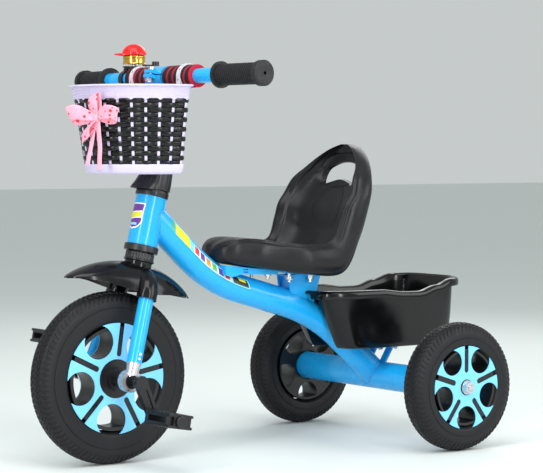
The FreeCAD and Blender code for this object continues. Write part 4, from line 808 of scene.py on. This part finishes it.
# shield on the front of the head tube: plain colour fields
ax0, axd = steer((0, 0, 0)), steer_dir((0, 0, 1))
fw, sdx = steer_dir((0, -1, 0)), np.array([1.0, 0, 0])


def head_pt(x, z, off):
    a = x / 23.0
    return ax0 + axd * z + (fw * math.cos(a) + sdx * math.sin(a)) * (23.0 + off)


def shield(k, off, n=24):
    V = []
    for i in range(n + 1):
        v = i / n
        z = 262.0 - 40.0 * v
        wd = 17.5 * (1.0 - 0.10 * math.sin(math.pi * v)) if v < 0.62 else 16.6 * math.sqrt(max(0.0, 1 - ((v - 0.62) / 0.38) ** 2))
        z = 242 + (z - 242) * k
        for j in range(n + 1):
            x = (-1 + 2 * j / n) * max(wd, 0.15) * k
            V.append(head_pt(x, z, off))
    return np.array(V), grid(n + 1, n + 1)


def head_band(z0, z1, w, off, slant=0.0):
    V = []
    for i in range(9):
        for j in range(25):
            x = (-1 + 2 * j / 24) * w
            V.append(head_pt(x, z0 + (z1 - z0) * i / 8 + slant * x, off))
    return np.array(V), grid(9, 25)


patches("head_decal", [(*shield(1.0, 0.12), "d_white"), (*shield(0.9, 0.18), "d_purple"), (*head_band(238, 249, 14.0, 0.24, 0.12), "d_white"),
                       (*head_band(239.6, 247.4, 12.8, 0.30, 0.12), "d_yellow"), (*head_band(228, 231.5, 8.0, 0.24), "d_cyan")], "chassis")

# ------------------------------------------------------------------ basket
BKX, BKB, BRC = 10.0, HB[1] - 23.0, 8.0
BA, BD = 105.0, 113.0
Z_TOP, Z_BAND, Z_W0, Z_BOT = 563.0, 543.0, 445.0, 432.0


def dplan(off, z, n=720):
    """closed D outline, wall draft included, offset inwards by off; points evenly spaced, starting at the back's middle"""
    f = (z - Z_BAND) / (Z_BAND - Z_W0)
    a, d = BA + 15.0 * f - off, BD + 15.0 * f - off
    yc, yb = BKB - BRC, BKB - off
    r = max(2.0, BRC - off)
    pts = []
    t = np.linspace(math.pi, 2 * math.pi, 400)
    front = np.stack([BKX + a * np.cos(t), yc + d * np.sin(t)], 1)
    c1 = [(BKX + a - r * (1 - math.cos(q)), yc + (yb - yc) * math.sin(q)) for q in np.linspace(0.05, math.pi / 2, 20)]
    c2 = [(BKX - a + r * (1 - math.cos(q)), yc + (yb - yc) * math.sin(q)) for q in np.linspace(math.pi / 2, 0.05, 20)]
    pts = np.concatenate([front, c1, c2])
    i0 = len(front) + 20
    # start at the middle of the straight back
    mid = np.array([[BKX, yb]])
    pts = np.concatenate([mid, pts[i0:], pts[:i0]])
    cl = np.concatenate([pts, pts[:1]])
    s = np.concatenate([[0], np.cumsum(np.linalg.norm(np.diff(cl, axis=0), axis=1))])
    u = np.linspace(0, s[-1], n, endpoint=False)
    P = np.stack([np.interp(u, s, cl[:, 0]), np.interp(u, s, cl[:, 1])], 1)
    T = np.roll(P, -1, 0) - np.roll(P, 1, 0)
    T /= np.linalg.norm(T, axis=1)[:, None]
    Nn = np.stack([T[:, 1], -T[:, 0]], 1)
    c = P.mean(0)
    if ((P - c) * Nn).sum() < 0:
        Nn = -Nn
    return P, Nn


def dring_piece(name, sections, mat, replaces=(), n=480, body="steering", angle=40, wob=None):
    """closed ring swept along the D plan; sections: list of (offset inwards, z)"""
    V = []
    for off, z in sections:
        base_off = max(off, 0.0)
        P, Nn = dplan(2.0, z, n)
        Q = P + Nn * (2.0 - off)
        row = np.concatenate([Q, np.full((n, 1), z)], 1)
        V.append(row)
    V = np.stack(V, 1)          # n x k x 3
    if wob is not None:
        V = wob(V)
    return make(name, V.reshape(-1, 3), grid(n, len(sections), True, True), mat, body, replaces, angle=angle)


def notch(V):
    """the band's lower edge dips a little onto each stave"""
    n = V.shape[0]
    u = np.arange(n) / n * NST
    w = np.exp(-((u - np.round(u)) / 0.13) ** 2)
    low = V[:, :, 2] < Z_BAND + 1.2
    V[:, :, 2] -= low * (w[:, None] * 2.6)
    return V


NST = 26
rim = [(4.0, Z_BAND - 0.6), (3.9, Z_BAND + 10), (3.4, Z_TOP - 3.2), (1.6, Z_TOP - 1.0), (-2.2, Z_TOP - 0.15), (-4.6, Z_TOP - 0.6), (-5.4, Z_TOP - 2.0), (-4.8, Z_TOP - 3.2),
       (-2.4, Z_TOP - 3.4), (-0.6, Z_TOP - 4.4), (-0.1, Z_TOP - 6.5), (0.0, Z_BAND + 4), (0.1, Z_BAND + 1.2), (0.5, Z_BAND - 0.2), (1.6, Z_BAND - 0.8)]
back_off = None


def rim_wob(V):
    V = notch(V)
    # no flare along the straight back, where the straps hook over
    y = V[:, :, 1]
    V[:, :, 1] = np.minimum(y, BKB + 0.8)
    return V


def band_marks():
    """small raised ticks in two rows round the band, with an upright rib over every second stave"""
    V, F = [], []
    P, Nn = dplan(2.0, Z_BAND + 9, 416)
    for i in range(0, 416, 2):
        if P[i, 1] > BKB - 5:
            continue
        tt = np.array([-Nn[i, 1], Nn[i, 0]])
        rib = i % 32 == 0
        for z0, z1, wd in ([(Z_BAND + 1, Z_BAND + 15, 0.8)] if rib else [(Z_BAND + 3.0, Z_BAND + 4.6, 0.75), (Z_BAND + 6.6, Z_BAND + 8.2, 0.75), (Z_BAND + 10.2, Z_BAND + 11.8, 0.75)]):
            b = len(V)
            for z in (z0, z1):
                f = (z - (Z_BAND + 9)) / (Z_BAND - Z_W0) * 15.0
                for a, o in ((-wd, 1.9), (wd, 1.9), (wd * 0.6, 2.0 + (0.75 if rib else 0.5)), (-wd * 0.6, 2.0 + (0.75 if rib else 0.5))):
                    q = P[i] + Nn[i] * (o + f) + tt * a
                    V.append((q[0], q[1], z))
            F += [(b, b + 1, b + 5, b + 4), (b + 1, b + 2, b + 6, b + 5), (b + 2, b + 3, b + 7, b + 6), (b + 3, b, b + 4, b + 7), (b + 3, b + 2, b + 1, b), (b + 4, b + 5, b + 6, b + 7)]
    make("basket_band_marks", V, F, M["lilac"], "steering", (), smooth=False)


dring_piece("basket_rim", rim, M["lilac"], ("basket_frame",), 832, wob=rim_wob)
band_marks()
tray = [(3.4, Z_W0 + 1.6), (0.9, Z_W0 + 1.6), (0.2, Z_W0 + 0.8), (0.0, Z_W0 - 1.0), (1.2, Z_BOT + 4.0), (2.6, Z_BOT + 1.2), (5.5, Z_BOT + 0.1), (9.0, Z_BOT)]


def tray_piece():
    n = 480
    V, rows = [], []
    for off, z in tray:
        P, Nn = dplan(2.0, z, n)
        Q = P + Nn * (2.0 - off)
        rows.append(np.concatenate([Q, np.full((n, 1), z)], 1))
    # floor of the tray runs in to the middle, with drain ribs
    c = np.array([BKX, BKB - 52.0])
    P = rows[-1][:, :2]
    for k, z in ((0.8, Z_BOT), (0.55, Z_BOT + 0.5), (0.3, Z_BOT), (0.02, Z_BOT + 0.4)):
        rows.append(np.concatenate([c + (P - c) * k, np.full((n, 1), z)], 1))
    for k in (0.02, 0.3, 0.55, 0.8, 0.97):
        rows.append(np.concatenate([c + (P - c) * k, np.full((n, 1), Z_BOT + 2.4)], 1))
    P2, N2 = dplan(2.0, Z_W0, n)
    rows.append(np.concatenate([P2 + N2 * (2.0 - 4.2), np.full((n, 1), Z_BOT + 5.0)], 1))
    rows.append(np.concatenate([P2 + N2 * (2.0 - 3.6), np.full((n, 1), Z_W0 + 1.0)], 1))
    V = np.stack(rows, 1)
    make("basket_tray", V.reshape(-1, 3), grid(n, len(rows), True, True), M["lilac"], "steering", (), angle=40)


tray_piece()

NC = 14
pitch = (Z_BAND - Z_W0) / NC


def strips():
    V, F = [], []
    n = NST * 16
    u = np.arange(n) / n * NST
    for k in range(NC):
        z0 = Z_W0 + pitch * (k + 0.5)
        wave = np.cos(np.pi * u + np.pi * k)
        wave = np.sign(wave) * np.abs(wave) ** 0.85
        lean = 0.25 * np.sin(u * 2.1 + k)
        sec = [(0.45, -3.1), (0.85, -2.0), (1.0, 0.0), (0.85, 2.0), (0.45, 3.1), (0.0, 3.46), (-0.4, 3.0), (-0.5, 0.0), (-0.4, -3.0), (0.0, -3.46)]
        rows = []
        for (dn, dz) in sec:
            z = z0 + dz
            P, Nn = dplan(2.0, z, n)
            o = -0.9 + 1.55 * wave + dn          # outwards from the stave line
            Q = P + Nn * o[:, None]
            rows.append(np.concatenate([Q, (z + lean * 0.5)[:, None]], 1))
        R = np.stack(rows, 1)
        b = len(V)
        V += list(R.reshape(-1, 3))
        F += [tuple(b + i for i in q) for q in grid(n, len(sec), True, True)]
    make("basket_strips", V, F, M["strip"], "steering", ("basket_weave",), angle=50)


def staves():
    V, F = [], []
    zz = np.linspace(Z_W0 - 2, Z_BAND + 3, 99)
    for i in range(NST):
        rows = []
        for z in zz:
            n = NST * 16
            P, Nn = dplan(2.0, z, n)
            j = i * 16
            c, nn = P[j], Nn[j]
            tt = np.array([-nn[1], nn[0]])
            k = (z - Z_W0) / pitch - 0.5
            # the stave bows the other way to the strips it passes
            w = -math.cos(math.pi * i + math.pi * k)
            w = math.copysign(abs(w) ** 0.8, w) * np.clip(min(z - Z_W0, Z_BAND - z) / 3.0, 0, 1)
            c = c + nn * (-0.9 + 0.35 * w)
            sec = [(-2.0, 0.35), (-1.6, 0.7), (1.6, 0.7), (2.0, 0.35), (2.0, -0.35), (1.6, -0.7), (-1.6, -0.7), (-2.0, -0.35)]
            for (a, b) in sec:
                q = c + tt * a + nn * b
                rows.append((q[0], q[1], z))
        b = len(V)
        V += rows
        F += [tuple(b + q for q in f) for f in grid(len(zz), 8, False, True)]
        F += [tuple(b + q for q in range(8))[::-1], tuple(b + (len(zz) - 1) * 8 + q for q in range(8))]
    make("basket_staves", V, F, M["lilac"], "steering", (), angle=50)


strips()
staves()

# ------------------------------------------------------------------ ribbon bow
a0 = math.radians(291)
bc = np.array([BKX + (BA + 6.0) * math.cos(a0), BKB - BRC + (BD + 6.0) * math.sin(a0), 514.0])
bn = np.array([math.cos(a0) / BA, math.sin(a0) / BD, 0])
bn /= np.linalg.norm(bn)
bt = np.array([-bn[1], bn[0], 0])


def B3(u, n, z):
    return bc + bt * u + bn * n + np.array([0, 0, z])


def ribbon(path, width, cross=None, n=60, taper=None, bow=0.0):
    """strip of ribbon along control points (u, n, z, wu, wn, wz): the last three give the direction of its width"""
    P = np.array(path, float)
    t = np.linspace(0, len(P) - 1, n)
    Q = catmull(P, t, False)
    V = []
    nw = 9
    for k in range(n):
        c = B3(*Q[k, :3])
        w = bt * Q[k, 3] + bn * Q[k, 4] + np.array([0, 0, Q[k, 5]])
        w /= np.linalg.norm(w)
        dn = B3(*Q[min(k + 1, n - 1), :3]) - B3(*Q[max(k - 1, 0), :3])
        dn /= np.linalg.norm(dn)
        up = np.cross(dn, w)
        ww = width * (taper(k / (n - 1)) if taper else 1.0)
        for j in range(nw):
            s = -1 + 2 * j / (nw - 1)
            V.append(c + w * s * ww / 2 + up * (bow * (1 - s * s) + 0.5 * math.sin(3 * s + k * 0.25) * (1 if cross else 0)))
    return np.array(V), grid(n, nw)


def ribbon_piece(name, parts, mat, flat, first):
    V, F = [], []
    for v, f in parts:
        b = len(V)
        V += list(v)
        F += [tuple(b + i for i in q) for q in f]
    o = make(name, V, F, mat, "steering", ("ribbon_bow",) if first else ())
    s = o.modifiers.new("thick", "SOLIDIFY")
    s.thickness = 0.0005
    s.offset = 0
    return o


pinch = lambda x: 0.45 + 0.55 * min(1, min(x, 1 - x) / 0.22)
end_pinch = lambda x: 0.42 + 0.58 * min(1, x / 0.35)
loopR = ribbon([(0, 4, 0, 0, 0.2, 1), (14, 12, 6, 0.1, 0.2, 1), (28, 14, 8, 0.25, 0.2, 1), (38, 9, 5, 0.35, 0.3, 1), (36, 4.5, 1, 0.35, 0.3, 1), (20, 3.0, 0, 0.2, 0.2, 1), (1, 3, 0, 0, 0.2, 1)], 21, True, 70, pinch)
loopL = ribbon([(0, 4, 0, 0, 0.2, 1), (-12, 14, 5, -0.1, 0.2, 1), (-25, 21, 8, -0.2, 0.2, 1), (-38, 20, 5, -0.3, 0.3, 1), (-39, 13, 1, -0.3, 0.3, 1), (-24, 8, -1, -0.2, 0.2, 1), (-1, 3.5, 0, 0, 0.2, 1)], 22, True, 70, pinch)
loopT = ribbon([(0, 4, 1, 1, 0.1, -0.2), (-2, 8, 12, 1, 0.1, 0.1), (-3, 10, 24, 1, 0.0, 0.3), (-1, 8, 33, 1, 0, 0.45), (1, 5, 26, 1, 0, 0.35), (1, 3.4, 10, 1, 0, 0.1), (0, 3, 1, 1, 0, 0)], 17, True, 60, pinch)
loopD = ribbon([(0, 4, -1, 1, 0.1, 0.3), (-7, 9, -10, 1, 0.15, 0.5), (-13, 12, -20, 0.9, 0.2, 0.55), (-15, 9, -31, 0.9, 0.2, 0.6), (-11, 6, -22, 0.9, 0.1, 0.5), (-5, 4, -9, 1, 0, 0.3), (0, 3, -1, 1, 0, 0.2)], 20, True, 60, pinch)
ribbon_piece("bow_loops", [loopR, loopL, loopT, loopD], M["ribbon"], None, True)
tail1 = ribbon([(-2, 3.6, -2, 1, 0, 0), (-5, 4.4, -18, 1, 0.1, 0.05), (-9, 4.0, -38, 1, 0.0, 0.1), (-14, 4.4, -58, 1, -0.1, 0.15), (-16, 4.0, -68, 1, -0.1, 0.15)], 7.0, None, 60, None, 0.5)
tail2 = ribbon([(2, 3.4, -2, 1, 0, 0), (4, 4.2, -20, 1, 0.05, 0), (5.5, 3.4, -42, 1, 0, 0), (5, 3.8, -62, 1, 0.05, 0), (5, 3.2, -75, 1, 0, 0)], 7.6, None, 60, None, 0.5)
ribbon_piece("bow_tails", [tail1, tail2], M["pinkplain"], None, False)
# knot: a wrapped band
kn = []
for k in range(40):
    a = 2 * math.pi * k / 40
    for j in range(9):
        s = -1 + 2 * j / 8
        rr = 5.2 + 1.1 * (1 - s * s) + 0.25 * math.sin(5 * a + 2 * s)
        kn.append(B3(s * 5.0, 4.2 + rr * 0.72 * math.cos(a), rr * math.sin(a)))
make("bow_knot", kn, grid(40, 9, True, False), M["ribbon"], "steering", ()).modifiers.new("thick", "SOLIDIFY").thickness = 0.0006


# ------------------------------------------------------------------ rear bucket


def rim_h(y):
    k = [(30, 243.0), (110, 246.0), (190, 246.0), (225, 241.5), (262, 240.5), (300, 250.0), (335, 259.0), (385, 262.0)]
    y = y - DY
    for (a, za), (b, zb) in zip(k, k[1:]):
        if y <= b:
            t = max(0.0, (y - a) / (b - a))
            t = t * t * (3 - 2 * t)
            return za + (zb - za) * t
    return k[-1][1]


def ring(y0, y1, a, n, z=None, dz=0.0, k=1.0, m=160):
    cy, b = (y0 + y1) / 2, (y1 - y0) / 2
    out = []
    for i in range(m):
        t = 2 * math.pi * i / m
        c, s_ = math.cos(t), math.sin(t)
        px = a * abs(c) ** (2 / n) * math.copysign(1, c) * k
        py = b * abs(s_) ** (2 / n) * math.copysign(1, s_) * k
        px *= 1 - 0.09 * (0.5 - 0.5 * py / b)
        y = cy + py
        out.append((px, y, (rim_h(y) + dz) if z is None else z))
    return out


def raw(name, V, F):
    me = bpy.data.meshes.new(name)
    me.from_pydata([tuple(v) for v in np.asarray(V, float) / 1000], [], [tuple(int(i) for i in f) for f in F])
    bm = bmesh.new()
    bm.from_mesh(me)
    bmesh.ops.recalc_face_normals(bm, faces=bm.faces)
    bm.to_mesh(me)
    bm.free()
    o = bpy.data.objects.new(name, me)
    bpy.context.scene.collection.objects.link(o)
    return o


def loft_raw(name, rings):
    m = len(rings[0])
    V = [p for r in rings for p in r]
    F = grid(len(rings), m, False, True) + [tuple(range(m))[::-1], tuple(range((len(rings) - 1) * m, len(rings) * m))]
    return raw(name, V, F)


def prism_raw(name, yz, x0, x1):
    n = len(yz)
    V = [(x0, y, z) for y, z in yz] + [(x1, y, z) for y, z in yz]
    F = [(i, (i + 1) % n, n + (i + 1) % n, n + i) for i in range(n)] + [tuple(range(n))[::-1], tuple(range(n, 2 * n))]
    return raw(name, V, F)


def boolean(o, other, op):
    md = o.modifiers.new("b", "BOOLEAN")
    md.object = other
    md.solver = "EXACT"
    md.operation = op
    bpy.context.view_layer.update()
    me2 = bpy.data.meshes.new_from_object(o.evaluated_get(bpy.context.evaluated_depsgraph_get()))
    o.modifiers.clear()
    o.data = me2
    bpy.data.objects.remove(other)


def bucket_piece():
    W0, W1 = (150.0, 366.0, 71.0), (106.0, 374.5, 80.0)        # wall at the floor and under the rim: front, rear, half width

    def wl(f, off, z=None, dz=0.0, n=6.0):
        y0 = W0[0] + (W1[0] - W0[0]) * f + off
        y1 = W0[1] + (W1[1] - W0[1]) * f - off
        return ring(y0, y1, W0[2] + (W1[2] - W0[2]) * f - off, n, z, dz)
    R = (98.0, 383.6, 92.0)
    rr = lambda off, dz, n=4.6: ring(R[0] + off, R[1] - off, R[2] - off, n, None, dz)
    out = loft_raw("bk", [ring(180, 340, 40, 4, 151.0), wl(0.0, 4.5, 151.0), wl(0.0, 1.6, 151.7), wl(0.03, 0.2, 154.0), wl(0.1, 0.0, 160.0), wl(0.5, 0.0, 198.0), wl(0.9, 0.0, None, -12.0, 5.4),
                          wl(1.0, 0.0, None, -4.6, 5.0), rr(4.2, -4.8), rr(2.6, -6.2), rr(2.2, -12.6), rr(1.4, -13.2), rr(0.5, -12.8), rr(0.1, -9.0), rr(0.3, -5.0), rr(1.2, -2.4), rr(3.0, -0.8),
                          rr(6.0, 0.0), ring(150, 330, 40, 4, None, 0.2)])
    inn = loft_raw("bi", [ring(185, 335, 36, 4, 153.6), wl(0.0, 7.0, 153.6), wl(0.02, 4.0, 154.6), wl(0.06, 2.8, 158.0), wl(0.5, 2.6, 198.0), wl(0.9, 2.6, None, -12, 5.4), wl(1.0, 2.4, None, -3.4, 5.0),
                          wl(1.0, 1.4, None, -1.6, 5.0), wl(1.0, -1.0, None, -0.5, 5.0), wl(1.0, -1.4, None, 0.6, 5.0), wl(1.0, -1.4, None, 30, 5.0)])
    CL = [(40, 262), (71, 246), (109, 228), (139, 200), (163, 179), (185, 158), (185, 100), (0, 100), (0, 262)]
    CI = [(44, 266), (74, 249.2), (111.5, 230.8), (141.5, 202.6), (165, 181.6), (190, 158), (190, 100), (0, 100), (0, 266)]
    co_ = prism_raw("ca", [(y + DY, z) for y, z in CL], -31, 31)
    ci_ = prism_raw("cb", [(y + DY, z) for y, z in CI], -33.6, 33.6)
    boolean(inn, ci_, "DIFFERENCE")
    boolean(out, inn, "DIFFERENCE")
    boolean(out, co_, "DIFFERENCE")
    out.name = "bucket_shell"
    out.data.name = "bucket_shell"
    out.data.materials.clear()
    out.data.materials.append(M["gloss"])
    for p in out.data.polygons:
        p.use_smooth = True
        p.material_index = 0
    sharp(out, 42)
    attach(out, "chassis")
    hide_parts("bucket")


bucket_piece()

# ------------------------------------------------------------------ foam sleeves


def foam_piece(name, node, x0, x1, red_side):
    prof = [(x0, 11.1), (x0 - 0.0, 15.2), (x0 + 0.7, 16.5), (x0 + 2.2, 17.0)]
    n = 24
    for i in range(1, n):
        x = x0 + 2.2 + (x1 - x0 - 4.4) * i / n
        prof.append((x, 17.0 - 0.12 * math.sin(i * 1.7) ** 2))
    prof += [(x1 - 2.2, 17.0), (x1 - 0.7, 16.5), (x1, 15.2), (x1, 11.1)]
    v, f = lathe(prof, (0, HB[1], HB[2]), (1, 0, 0), 120)
    k = len(prof)
    fm = []
    for i in range(120):
        for j in range(k):
            fm.append(1 if (j >= k - 4 and j < k - 1) or (j < 2 and False) else 0)
    make(name, v, f, None, "steering", (node,), mats=[M["foam"], M["foam_end"]], fmat=fm, angle=60)


foam_piece("foam_left", "foam_sleeve_left", 25.0, 99.0, 1)
foam_piece("foam_right", "foam_sleeve_right", -79.6, -22.0, 1)

# ------------------------------------------------------------------ bell cap with peak, brass body with rolled rims
BC = np.array([-92.0, HB[1] + 9.0, HB[2] + 16.5 + 6.5])
prof = [(0.4, 17.0), (0.4, 17.3), (1.2, 17.7), (2.0, 17.3), (3.0, 17.1), (9.6, 17.1), (11.0, 17.4), (12.0, 17.7), (13.0, 17.3), (14.2, 15.2), (14.5, 12), (14.5, 0.2), (13.3, 0.2), (13.3, 14), (12, 16.0), (0.9, 16.2)]
v, f = lathe(prof, BC, (0, 0, 1), 144)
make("bell_body", v, f, M["brass"], "steering", ("bell_dome",), angle=40)
prof = []
for i in range(26):
    a = math.radians(90 - i * 90 / 25)
    prof.append((14.7 + 16.9 * math.sin(a) if i else 31.9, 19.1 * math.cos(a) if i else 0.05))
prof += [(14.7, 18.6), (15.2, 17.0), (15.2, 0.05)]
prof[0] = (31.6, 0.05)
# six shallow panels, with seams between them
v, f = lathe(prof, BC, (0, 0, 1), 192, lambda t, k, a, r: (-0.42 * math.exp(-(((t * 6 / (2 * math.pi)) % 1 - 0.5) / 0.035) ** 2)) if 2 < k < 25 else 0.0)
make("cap_crown", v, f, M["red"], "steering", ("bell_cap",), angle=50)
V = []
nn_, mm_ = 40, 16
for side_ in (0, 1):
    for i in range(nn_ + 1):
        t = -1 + 2 * i / nn_
        for j in range(mm_ + 1):
            s = j / mm_
            ang = math.radians(-90) + t * math.radians(47)
            r0 = 17.6
            reach = 1.0 - abs(t) ** 2.6
            yy = BC[1] + r0 * math.sin(ang) - s * 17.0 * math.sqrt(max(0.0, reach)) * 1.0
            xx = BC[0] + r0 * math.cos(ang) * (1 - 0.10 * s)
            zz = BC[2] + 15.4 + (1.9 if side_ == 0 else 0.4) * (1.0 if s < 0.98 else 0.75) - 0.8 * t * t - 1.3 * s * s
            V.append((xx, yy, zz))
half_ = (nn_ + 1) * (mm_ + 1)
F = grid(nn_ + 1, mm_ + 1) + [tuple(half_ + q for q in f_)[::-1] for f_ in grid(nn_ + 1, mm_ + 1)]
edge = [i * (mm_ + 1) for i in range(nn_ + 1)]
edge2 = [i * (mm_ + 1) + mm_ for i in range(nn_ + 1)]
for e_ in (edge, edge2):
    for a_, b_ in zip(e_, e_[1:]):
        F.append((a_, b_, b_ + half_, a_ + half_))
for i_ in (0, nn_):
    for j_ in range(mm_):
        a_ = i_ * (mm_ + 1) + j_
        F.append((a_, a_ + 1, a_ + 1 + half_, a_ + half_))
make("cap_peak", V, F, M["red"], "steering", (), angle=40)
# lever under the dome, with a ribbed thumb pad: not built here
# (the lever itself is the CAD piece)

# soft edges on the CAD pieces that show
for n_, w_ in (("seat_bracket", 0.0006), ("seat_gusset", 0.0005), ("bucket_bracket", 0.0004), ("bucket_struts", 0.0005), ("basket_straps", 0.0003),
               ("crank_axle", 0.0008), ("pedal_left", 0.0006), ("pedal_right", 0.0006), ("rear_axle_nuts", 0.0005), ("handlebar_stem", 0.0006), ("bell_lever", 0.0004),
               ("front_face_left", 0.00035), ("front_face_right", 0.00035), ("rear_face_left", 0.00035), ("rear_face_right", 0.00035), ("fork_ends", 0.0011)):
    bevel(N[n_], w_)

# ------------------------------------------------------------------ stage, light, camera
me = bpy.data.meshes.new("floor")
rows = []
S_ = 24
for i in range(S_ + 1):
    for j in range(S_ + 1):
        rows.append((-18 + 36 * i / S_, -18 + 36 * j / S_, 0.0))
me.from_pydata(rows, [], grid(S_ + 1, S_ + 1))
fl = bpy.data.objects.new("floor", me)
bpy.context.scene.collection.objects.link(fl)
fm_ = pbr("floor_pale", (222, 228, 226), rough=0.62, scale=1.5, bump=0.0, rvar=0.05, cvar=0.01, fine=40, fbump=0.0, spec=0.3)
me.materials.append(fm_)

bpy.context.scene.view_settings.view_transform = "Standard"
w = bpy.data.worlds.new("studio")
bpy.context.scene.world = w
w.use_nodes = True
w.node_tree.nodes["Background"].inputs["Color"].default_value = (0.78, 0.83, 0.82, 1)
w.node_tree.nodes["Background"].inputs["Strength"].default_value = 0.72


def area(name, loc, target, sx, sy, power, col=(1, 1, 1)):
    l = bpy.data.lights.new(name, "AREA")
    l.shape = "RECTANGLE"
    l.size, l.size_y = sx, sy
    l.energy = power
    l.color = col
    o = bpy.data.objects.new(name, l)
    bpy.context.scene.collection.objects.link(o)
    o.location = loc
    d = Vector(target) - Vector(loc)
    o.rotation_mode = "QUATERNION"
    o.rotation_quaternion = d.to_track_quat("-Z", "Y")
    return o


az = math.radians(53.88)


def polar(deg, r, z):
    a = math.radians(deg)
    return (math.sin(a) * r, -math.cos(a) * r, z)


area("key_top", polar(40, 1.0, 2.3), (0, 0, 0.2), 1.8, 1.8, 33)
area("strip_left", polar(20, 2.2, 1.0), (0, 0, 0.3), 0.25, 1.8, 22)
area("strip_right", polar(82, 2.2, 1.0), (0, 0, 0.3), 0.3, 1.8, 24)
area("back_rim", polar(215, 2.0, 1.5), (0, 0, 0.3), 1.4, 0.8, 12)
area("side_fill", polar(130, 2.0, 1.0), (0, 0, 0.2), 1.2, 1.2, 14)

cam = bpy.data.cameras.new("cam")
cam.sensor_width = 36.0
cam.lens = 133.77
cam.clip_end = 60
co = bpy.data.objects.new("cam", cam)
bpy.context.scene.collection.objects.link(co)
el = math.radians(2.486)
back = Vector((math.sin(az) * math.cos(el), -math.cos(az) * math.cos(el), math.sin(el)))
co.rotation_mode = "QUATERNION"
co.rotation_quaternion = (-back).to_track_quat("-Z", "Y")
co.location = (2.5600, -1.8786 + (RY - 200.0) / 1000.0, 0.4690)
bpy.context.scene.camera = co

bpy.context.view_layer.update()
